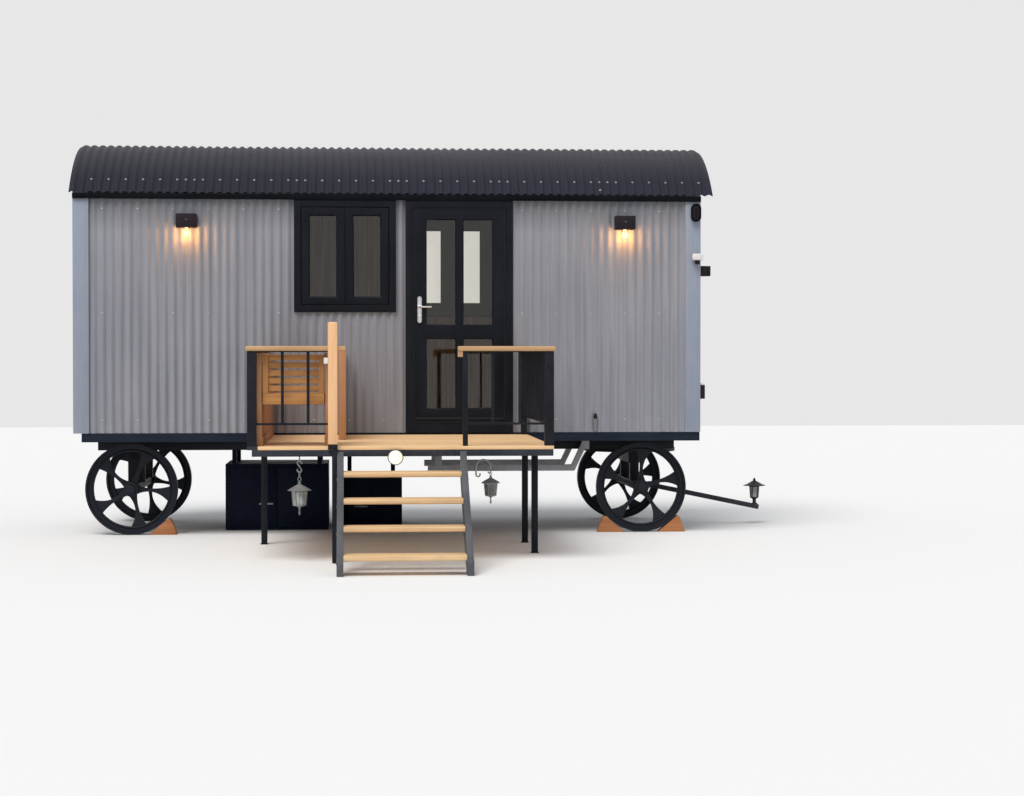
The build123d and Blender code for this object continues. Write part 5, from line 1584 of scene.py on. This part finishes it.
# %% Deck steel
DECK_EDGE = steel_paint("deck_edge_steel", (0.022, 0.026, 0.036), (0.044, 0.048, 0.058), 0.4, 0.3)
end_strip = bar(deck_low, (strip_right, deck_high.y, deck_high.z), 0.003)
deck_steel = joined([eased_copy("deck_frame", 0.003), end_strip])
dress(deck_steel, "deck_steel", DECK_EDGE, "hut", ("deck_frame",))
leg_low, leg_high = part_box("deck_legs")
leg_parts = [eased_copy("deck_legs", 0.004)]
half_leg, half_foot, foot_thick = 0.025, 0.032, 0.006
left_x, right_x = leg_low.x + half_leg, leg_high.x - half_leg
front_y, rear_y = leg_low.y + half_leg, leg_high.y - half_leg
for x, y in ((left_x, rear_y), (right_x, rear_y), (right_x, front_y)):
    low, high = (x - half_foot, y - half_foot, 0.0), (x + half_foot, y + half_foot, foot_thick)
    leg_parts.append(bar(low, high, 0.001))
dress(joined(leg_parts), "deck_leg_steel", STEEL_BLACK, "hut", ("deck_legs",))
print("legs from", [round(value, 3) for value in leg_low], "to", [round(value, 3) for value in leg_high])

# %% [markdown]
# ## Balustrades and handrails
# Black square steel carries a broad timber handrail with rounded edges. The rail is thick and soft in the
# hand, so its edges are eased far more than those of a board.

# %% Balustrades
for node in ("front_balustrades", "side_balustrades"):
    dress_copy(node, node + "_steel", STEEL_BLACK, 0.0015)

# %% Handrails
rail_low, rail_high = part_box("handrails")
rail_wide = 0.095
rail_foot = WALL_FOOT + 0.709
front_back = rail_low.y + rail_wide
left_end, right_start = at(-0.381, 0, 0).x, at(0.472, 0, 0).x
rail_parts = [
    bar((*near, rail_foot), (*far, rail_high.z), 0.011, 4)
    for near, far in (
        ((rail_low.x, rail_low.y), (left_end, front_back)),
        ((right_start, rail_low.y), (rail_high.x, front_back)),
        ((rail_low.x, front_back + 0.001), (rail_low.x + rail_wide, rail_high.y)),
        ((rail_high.x - rail_wide, front_back + 0.001), (rail_high.x, rail_high.y)),
    )
]
low = (right_start, rail_low.y + 0.0125, rail_low.z)
rail_parts.append(bar(low, (right_start + 0.038, rail_low.y + 0.0505, rail_foot + 0.001), 0.003))
dress(boards(joined(rail_parts), 3), "handrail_timber", RAIL_TIMBER, "hut", ("handrails",))

# %% [markdown]
# ## Marker plank
# A tall thin board stands beside the stair. It is one plank with rounded top corners, so only the two short
# edges at its head are bevelled wide, and a steel cleat behind its foot ties it to the deck's frame. A pale
# latch sits on its left edge.

# %% Marker plank
marker_low, marker_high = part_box("marker_post")
plank_back = marker_low.y + 0.024
plank_middle = (marker_low.y + plank_back) / 2
plank = bar((marker_low.x, marker_low.y, WALL_FOOT), (marker_high.x, plank_back, marker_high.z), 0)
edit(plank)
pick(
    plank,
    lambda middle, edge: middle.z > marker_high.z - 0.001 and abs(middle.y - plank_middle) < 0.001,
    "EDGE",
)
bpy.ops.mesh.bevel(offset=0.012, segments=4, affect="EDGES")
let_go()
soften(plank, 0.003, 2, 40)
dress(boards(plank, 8), "marker_plank", PLANK_TIMBER, stands_for=("marker_post",))
cleat_front = marker_low.y + 0.004
cleat = bar((marker_low.x, cleat_front, marker_low.z), (marker_high.x, marker_high.y, WALL_FOOT - 0.0005))
dress(cleat, "marker_cleat", STEEL_BLACK)
latch_z, half_latch = WALL_FOOT + 0.635, 0.023
low = (marker_low.x - 0.031, marker_low.y + 0.003, latch_z - half_latch)
latch = bar(low, (marker_low.x + 0.0005, marker_low.y + 0.021, latch_z + half_latch), 0.004, 3)
dress(latch, "marker_latch", WHITE_PLASTIC)

# %% [markdown]
# ## Built-in seat
# A built-in bench fills the left bay of the deck, with its slatted back to the rail. Its sides are lined
# with upright boards, and its top is laid with five boards that let the rain through. Every board is a
# plain eased bar, because it is the gaps and the grain that make joinery look real. A boarded screen
# stands by itself nearer the wall.

# %% Seat boards
panel_low, panel_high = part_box("seat_panels")
seat_low, seat_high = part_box("seat")


def upright_boards(left, right, front_y, back_y, foot, head, count):
    """A row of upright boards along Y, with a joint of 2 mm between them."""
    step = (back_y - front_y) / count
    starts = [front_y + step * index for index in range(count)]
    return [bar((left, start, foot), (right, start + step - 0.002, head)) for start in starts]


print("upright boards ready")

# %% Seat sides and screen
lining_left, lining_right = panel_low.x, panel_low.x + 0.045
side_left, side_right = seat_high.x, seat_high.x + 0.041
screen_left, screen_right = panel_high.x - 0.06, panel_high.x
screen_front = at(0, -1.2, 0).y
board_foot = panel_low.z + 0.001
lining_head = WALL_FOOT + 0.696 - 0.001
board_front = panel_low.y + 0.002
batten_thick, batten_high = 0.0075, 0.07
post_deep = 0.06
seat_parts = upright_boards(
    lining_left, lining_right - 0.008, board_front, panel_high.y, board_foot, lining_head, 16
)
seat_parts += upright_boards(
    side_left + 0.008, side_right, board_front, seat_high.y, board_foot, lining_head, 4
)
for foot, head in ((board_foot, panel_low.z + batten_high), (lining_head - batten_high, lining_head)):
    low = (lining_right - batten_thick, panel_low.y, foot)
    seat_parts.append(bar(low, (lining_right, panel_high.y, head)))
    low = (side_left, panel_low.y, foot)
    seat_parts.append(bar(low, (side_left + batten_thick, seat_high.y, head)))
seat_parts += upright_boards(
    screen_left + 0.012,
    screen_right - 0.012,
    screen_front + post_deep + 0.001,
    panel_high.y,
    board_foot,
    panel_high.z - 0.03,
    8,
)
low = (screen_left, screen_front, panel_low.z)
seat_parts.append(bar(low, (screen_right, screen_front + post_deep, panel_high.z), 0.003))
low = (screen_left, screen_front + post_deep + 0.0005, panel_high.z - 0.0295)
seat_parts.append(bar(low, (screen_right, panel_high.y, panel_high.z), 0.003))
side_boards = boards(joined(seat_parts), 21)
dress(side_boards, "seat_side_boards", SCREEN_TIMBER, "hut", ("seat_panels",))

# %% Seat slats
slat_parts = []
seat_top = WALL_FOOT - 0.016 + 0.401
slat_face, slat_back = seat_low.y + 0.02, seat_low.y + 0.042
slats, slat_pitch, slat_high = 5, 0.059, 0.045
for index in range(slats):
    foot = seat_top + 0.016 + slat_pitch * index
    slat_parts.append(bar((seat_low.x, slat_face, foot), (seat_high.x, slat_back, foot + slat_high), 0.004))
stile = 0.042
for stile_x in (seat_low.x, seat_high.x - stile):
    low = (stile_x, seat_low.y, seat_top)
    slat_parts.append(bar(low, (stile_x + stile, slat_face - 0.0005, seat_high.z), 0.003))
slat_parts.append(bar(seat_low, (seat_high.x, slat_back, seat_top), 0.005, 3))
top_boards = 5
board_deep = 0.45 / top_boards
for index in range(top_boards):
    front_y = slat_back + board_deep * index
    low = (seat_low.x, front_y + 0.011, seat_top - 0.03)
    slat_parts.append(bar(low, (seat_high.x, front_y + board_deep - 0.011, seat_top - 0.0005), 0.004))
low = (seat_low.x, seat_high.y - 0.0275, seat_low.z)
slat_parts.append(bar(low, (seat_high.x, seat_high.y, seat_top), 0.004))
dress(boards(joined(slat_parts), 4), "seat_boards", SLAT_TIMBER, stands_for=("seat",))
print("seat from", [round(value, 3) for value in seat_low], "to", [round(value, 3) for value in seat_high])

# %% [markdown]
# ## Open stair
# Two flat steel stringers carry four treads of two boards each. The nosings are rounded, as they would be to
# shed rain and spare shins, and a pair of bolts through each stringer shows where a tread sits on its cleat.
# The leg at the left is one piece with its stringer but black, so its faces are found by their place and get
# a second finish.

# %% Stair
stair_low, stair_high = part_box("stair_treads")
string_low, string_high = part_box("stair_stringers")
stringers = dress_copy("stair_stringers", "stringer_steel", [STAIR_GREY, STEEL_BLACK], 0.003)
string_thick = 0.04
leg_edge = string_low.x + string_thick
for face in stringers.data.polygons:
    on_edge = face.center.x < leg_edge + 0.0005 and face.normal.x > 0.5
    if face.center.x < leg_edge - 0.0005 or on_edge:
        face.material_index = 1
tread_parts, tread_bolts = [], []
treads, rise, going, tread_deep, tread_thick = 4, 0.186, 0.25, 0.225, 0.038
half_joint = 0.003
stair_middle = (stair_low.x + stair_high.x) / 2
for count in range(1, treads + 1):
    nosing = at(0, -2.410 - going * count, 0).y
    top = deck_high.z - rise * count
    foot = top - tread_thick
    split = nosing + tread_deep * 0.5
    front_board = bar((stair_low.x, nosing, foot), (stair_high.x, split - half_joint, top), 0)
    edit(front_board)
    pick(
        front_board,
        lambda middle, edge: abs(middle.y - nosing) < 0.0001 and abs(middle.x - stair_middle) < 0.0001,
        "EDGE",
    )
    bpy.ops.mesh.bevel(offset=0.012, segments=5, affect="EDGES")
    let_go()
    tread_parts.append(soften(front_board, 0.002))
    low = (stair_low.x, split + half_joint, foot)
    tread_parts.append(bar(low, (stair_high.x, nosing + tread_deep, top), 0.004))
    for bolt_y in (nosing + 0.06, nosing + 0.165):
        for bolt_x, out in ((leg_edge + 0.0005, -1), (string_high.x - 0.0005, 1)):
            tread_bolts.append(bolt((bolt_x, bolt_y, top - 0.06), (out, 0, 0), 0.007, 0.006))
dress(boards(joined(tread_parts), 12), "treads", TREAD_TIMBER, "hut", ("stair_treads",))
dress(joined(tread_bolts), "tread_bolts", STAIR_GREY)
print("stringers span", [round(value, 3) for value in string_high - string_low])

# %% [markdown]
# ## Lanterns
# Each lantern has six sides. The cap, the base and the glass are spun in only six steps, which leaves flat
# sides, and slanting bars stand at the corners and up the middle of each pane. One hangs from the deck on a
# chain, one from a curled hook on the long brace, and one stands upright on the tip of the drawbar.

# %% Lantern finishes
PEWTER = steel_paint("lantern_pewter", (0.15, 0.16, 0.165), (0.27, 0.28, 0.285), 0.42, 0.1, 0.4)
# A paler copy of the lantern pewter, for the lantern on the brace, is painted light: it stands in for the light
# that this lantern lacks in the shade under the hut.
PEWTER_PAINTED_LIT = steel_paint("pewter_painted_lit", (0.52, 0.54, 0.57), (0.72, 0.74, 0.77), 0.4, 0.1, 0.5)
LANTERN_DARK = steel_paint("lantern_dark", (0.014, 0.016, 0.020), (0.032, 0.034, 0.038), 0.45, 0.2)
PANE = Finish("lantern_pane", Specular_IOR_Level=0.6)
haze = PANE.noise(26, 3)
PANE.feed(
    Base_Color=PANE.blend((0.27, 0.28, 0.26), (0.52, 0.53, 0.49), PANE.ramp(haze, 0.35, 0.65)),
    Roughness=PANE.ramp(haze, 0.3, 0.7, 0.12, 0.3),
)
print("lantern finishes ready")

# %% Rods, rings and arcs
def rod(start, end, radius, sides=8):
    """A round rod between two places, with eased ends."""
    start, end = Vector(start), Vector(end)
    length = (end - start).length
    profile = [
        (0, 0), (radius * 0.85, 0), (radius, radius * 0.2),
        (radius, length - radius * 0.2), (radius * 0.85, length), (0, length),
    ]
    return moved(upright(profile, (0, 0, 0), sides), aimed(start, end - start))


def ring(centre, wide, tall, wire, turn=0.0):
    """A chain link: a wire ring that is drawn out upward, then turned about the upright."""
    let_go()
    bpy.ops.mesh.primitive_torus_add(
        major_radius=wide / 2 - wire,
        minor_radius=wire,
        major_segments=14,
        minor_segments=6,
        rotation=(math.radians(90), 0, 0),
    )
    piece = settle()
    for way in (-1, 1):
        edit(piece)
        pick(piece, lambda place, outward: place.z * way > 0.0005, "VERT")
        bpy.ops.transform.translate(value=(0, 0, way * (tall - wide) / 2))
        let_go()
    return moved(piece, Matrix.Translation(centre) @ Matrix.Rotation(turn, 4, "Z"))


def arc(centre, radius, start, sweep, wire):
    """A bent wire in a plane that faces the front: a small circle, spun part of the way round a place.
    Angles are in degrees from +X towards +Z."""
    centre = Vector(centre)
    out = Vector((math.cos(math.radians(start)), 0, math.sin(math.radians(start))))
    let_go()
    bpy.ops.mesh.primitive_circle_add(
        vertices=8, radius=wire, location=centre + out * radius, rotation=(0, -math.radians(start), 0)
    )
    piece = settle()
    steps = max(4, round(abs(sweep) / 18))
    edit(piece)
    bpy.ops.mesh.spin(steps=steps, angle=math.radians(sweep), center=centre, axis=(0, 1, 0))
    bpy.ops.mesh.select_all(action="SELECT")
    bpy.ops.mesh.fill_holes(sides=0)
    face_out()
    return piece


print("rods, rings and arcs ready")

# %% One lantern
def lantern(cap_top, cap_radius, finial, slim=1.0):
    """The metal and the panes of a lantern whose cap ends at a place. Slim narrows its body."""
    base = Vector(cap_top) - Vector((0, 0, 0.05))
    foot = -0.116

    def sided(profile, narrow=1.0):
        return upright([(radius * narrow, rise) for radius, rise in profile], base, 6)

    def corner(angle, radius, rise):
        return base + Vector((math.cos(angle), math.sin(angle), 0)) * radius + Vector((0, 0, rise))

    cap = [
        (0, 0.05), (0.012, 0.0495), (0.022, 0.043), (0.044, 0.031), (0.07, 0.016),
        (cap_radius * 0.94, 0.006), (cap_radius, 0.003), (cap_radius, 0), (cap_radius * 0.93, -0.0015),
        (0.066, 0.002), (0.05, 0.008), (0, 0.01),
    ]
    plate = [
        (0, foot + 0.012), (0.044, foot + 0.012), (0.052, foot + 0.009), (0.052, foot + 0.003), (0.046, foot),
        (0.02, foot - 0.006), (0, foot - 0.008),
    ]
    collar = [(0.052, -0.001), (0.063, -0.001), (0.062, -0.011), (0.052, -0.012), (0.052, -0.001)]
    shell = [
        (0.0465, foot + 0.008), (0.057, -0.004), (0.0545, -0.004),
        (0.044, foot + 0.008), (0.0465, foot + 0.008),
    ]
    candle = [
        (0, foot + 0.012), (0.012, foot + 0.012), (0.012, foot + 0.07),
        (0.004, foot + 0.076), (0, foot + 0.09),
    ]
    knob = [
        (0, 0.048), (0.009, 0.049), (0.0135, 0.056), (0.0135, 0.06),
        (0.006, 0.066), (0.008, 0.07), (0, 0.074),
    ]
    drop = [
        (0, foot - 0.004), (0.012, foot - 0.006), (0.0075, foot - 0.02), (0.0055, foot - 0.034),
        (0.009, foot - 0.048), (0.0085, foot - 0.058), (0.004, foot - 0.066), (0, foot - 0.077),
    ]
    metal = [sided(cap), sided(plate, slim), sided(collar, slim)]
    glass = [sided(shell, slim), upright(candle, base, 12)]
    for count in range(6):
        angle = math.radians(60 * count)
        low, high = corner(angle, 0.0485 * slim, foot + 0.006), corner(angle, 0.0595 * slim, -0.003)
        metal.append(rod(low, high, 0.0036, 6))
        angle += math.radians(30)
        flat = math.cos(math.radians(30)) * slim
        low, high = corner(angle, 0.0475 * flat, foot + 0.008), corner(angle, 0.0585 * flat, -0.005)
        metal.append(rod(low, high, 0.0016, 6))
    metal.append(upright(knob, base, 14))
    if finial:
        metal.append(upright(drop, base, 14))
    return metal, glass


print("lantern ready")

# %% Lantern under the deck
hang = at(-0.735, -2.385, 0)
deck_metal, deck_glass = lantern((hang.x, hang.y, 0.602), 0.092, True)
deck_metal.append(ring((hang.x, hang.y, 0.638), 0.03, 0.036, 0.0034))
for height, turn in ((0.663, 45), (0.6845, 135)):
    deck_metal.append(ring((hang.x, hang.y, height), 0.018, 0.031, 0.0032, math.radians(turn)))
deck_metal += [
    arc((hang.x, hang.y, 0.707), 0.016, 20, -230, 0.0055),
    rod((hang.x + 0.0151, hang.y, 0.712), (hang.x - 0.0151, hang.y, 0.757), 0.0055),
    arc((hang.x, hang.y, 0.762), 0.016, 200, -230, 0.0055),
    rod((hang.x, hang.y, 0.775), (hang.x, hang.y, 0.812), 0.005),
]
dress(joined(deck_metal), "deck_lantern_frame", PEWTER, "hut", ("hanging_lanterns",))
print("deck lantern at", round(hang.x, 3))

# %% Lantern on the brace
brace = at(0.912, 0.438, 0)
brace_metal, brace_glass = lantern((brace.x, brace.y, 0.482), 0.086, True)
brace_metal.append(ring((brace.x, brace.y, 0.516), 0.024, 0.03, 0.0032))
crook_radius, crook_wire = 0.066, 0.0075
crook = Vector((brace.x - crook_radius, brace.y, 0.579))
stake_x = crook.x - crook_radius
brace_metal += [
    arc(crook, crook_radius, 0, 180, crook_wire),
    rod((brace.x, brace.y, 0.533), (brace.x, brace.y, 0.581), crook_wire),
    arc((brace.x - 0.0115, brace.y, 0.535), 0.0115, 0, -200, 0.006),
    rod((stake_x, brace.y, 0.508), (stake_x, brace.y, 0.581), crook_wire),
    arc((stake_x + 0.018, brace.y, 0.51), 0.018, 180, 220, 0.0065),
    rod((stake_x, brace.y - 0.006, 0.568), (stake_x, at(0, 0.592, 0).y, 0.568), 0.006),
]
dress(joined(brace_metal), "brace_lantern_frame", PEWTER_PAINTED_LIT)
dress(joined(deck_glass + brace_glass), "lantern_panes", PANE)
print("brace lantern at", round(brace.x, 3))

# %% Lantern on the drawbar
tip = at(3.447, 1.08, 0)
tip_metal, tip_glass = lantern((tip.x, tip.y, 0.409), 0.106, False, 0.76)
stem = [
    (0, 0.182), (0.031, 0.182), (0.032, 0.186), (0.03, 0.191), (0.02, 0.197),
    (0.0165, 0.205), (0.0165, 0.228), (0.022, 0.236), (0.026, 0.243), (0, 0.243),
]
tip_metal.append(upright(stem, tip, 18))
dress(joined(tip_metal), "tip_lantern_frame", LANTERN_DARK, "drawbar", ("drawbar_lantern",))
dress(joined(tip_glass), "tip_lantern_panes", PANE, "drawbar")

# %% [markdown]
# ## Step light and chocks
# A round lamp on the deck's edge lights the stair. Its pale disc glows by itself, and a rim of dark metal
# holds it. The chocks are sawn wedges that keep the wheels from rolling.

# %% Step light
STEP_GLOW = Finish("step_glow", Base_Color=(0.4, 0.38, 0.3), Roughness=0.4, Emission_Strength=0.95)
cloudy = STEP_GLOW.ramp(STEP_GLOW.noise(22, 2), 0.4, 0.6)
STEP_GLOW.feed(Emission_Color=STEP_GLOW.blend((1.0, 0.90, 0.56), (1.0, 0.98, 0.80), cloudy))
light_low, light_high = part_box("step_light")
light_middle = (light_low + light_high) / 2
rim = [
    (0.053, 0.006), (0.0545, 0.001), (0.057, 0.0), (0.0595, 0.003), (0.06, 0.01), (0.06, 0.0415), (0, 0.0415),
]
disc = [(0, 0.001), (0.02, 0.0015), (0.04, 0.0035), (0.0535, 0.0075), (0.0535, 0.012), (0, 0.012)]


def step_disc(profile, steps):
    """A form that is turned round the lamp's middle line, from its front face inward."""
    outline = [(light_middle.x + radius, light_low.y + deep, light_middle.z) for radius, deep in profile]
    return turned(outline, light_middle, (0, 1, 0), steps)


dress(step_disc(rim, 36), "step_light_rim", STAIR_GREY, stands_for=("step_light",))
dress(step_disc(disc, 32), "step_light_disc", STEP_GLOW, smooth=60)

# %% Chocks
for node, seed, name, body in (
    ("rear_chock", 6, "rear_wedges", "hut"),
    ("lead_chocks", 7, "lead_wedges", "fore_carriage"),
):
    dress(boards(eased_copy(node, 0.003), seed), name, CHOCK_TIMBER, body, (node,))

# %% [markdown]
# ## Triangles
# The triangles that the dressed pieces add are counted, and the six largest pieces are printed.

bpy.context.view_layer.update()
print("triangles added", sum(triangles.values()))
print("most", sorted(triangles.items(), key=lambda pair: -pair[1])[:6])
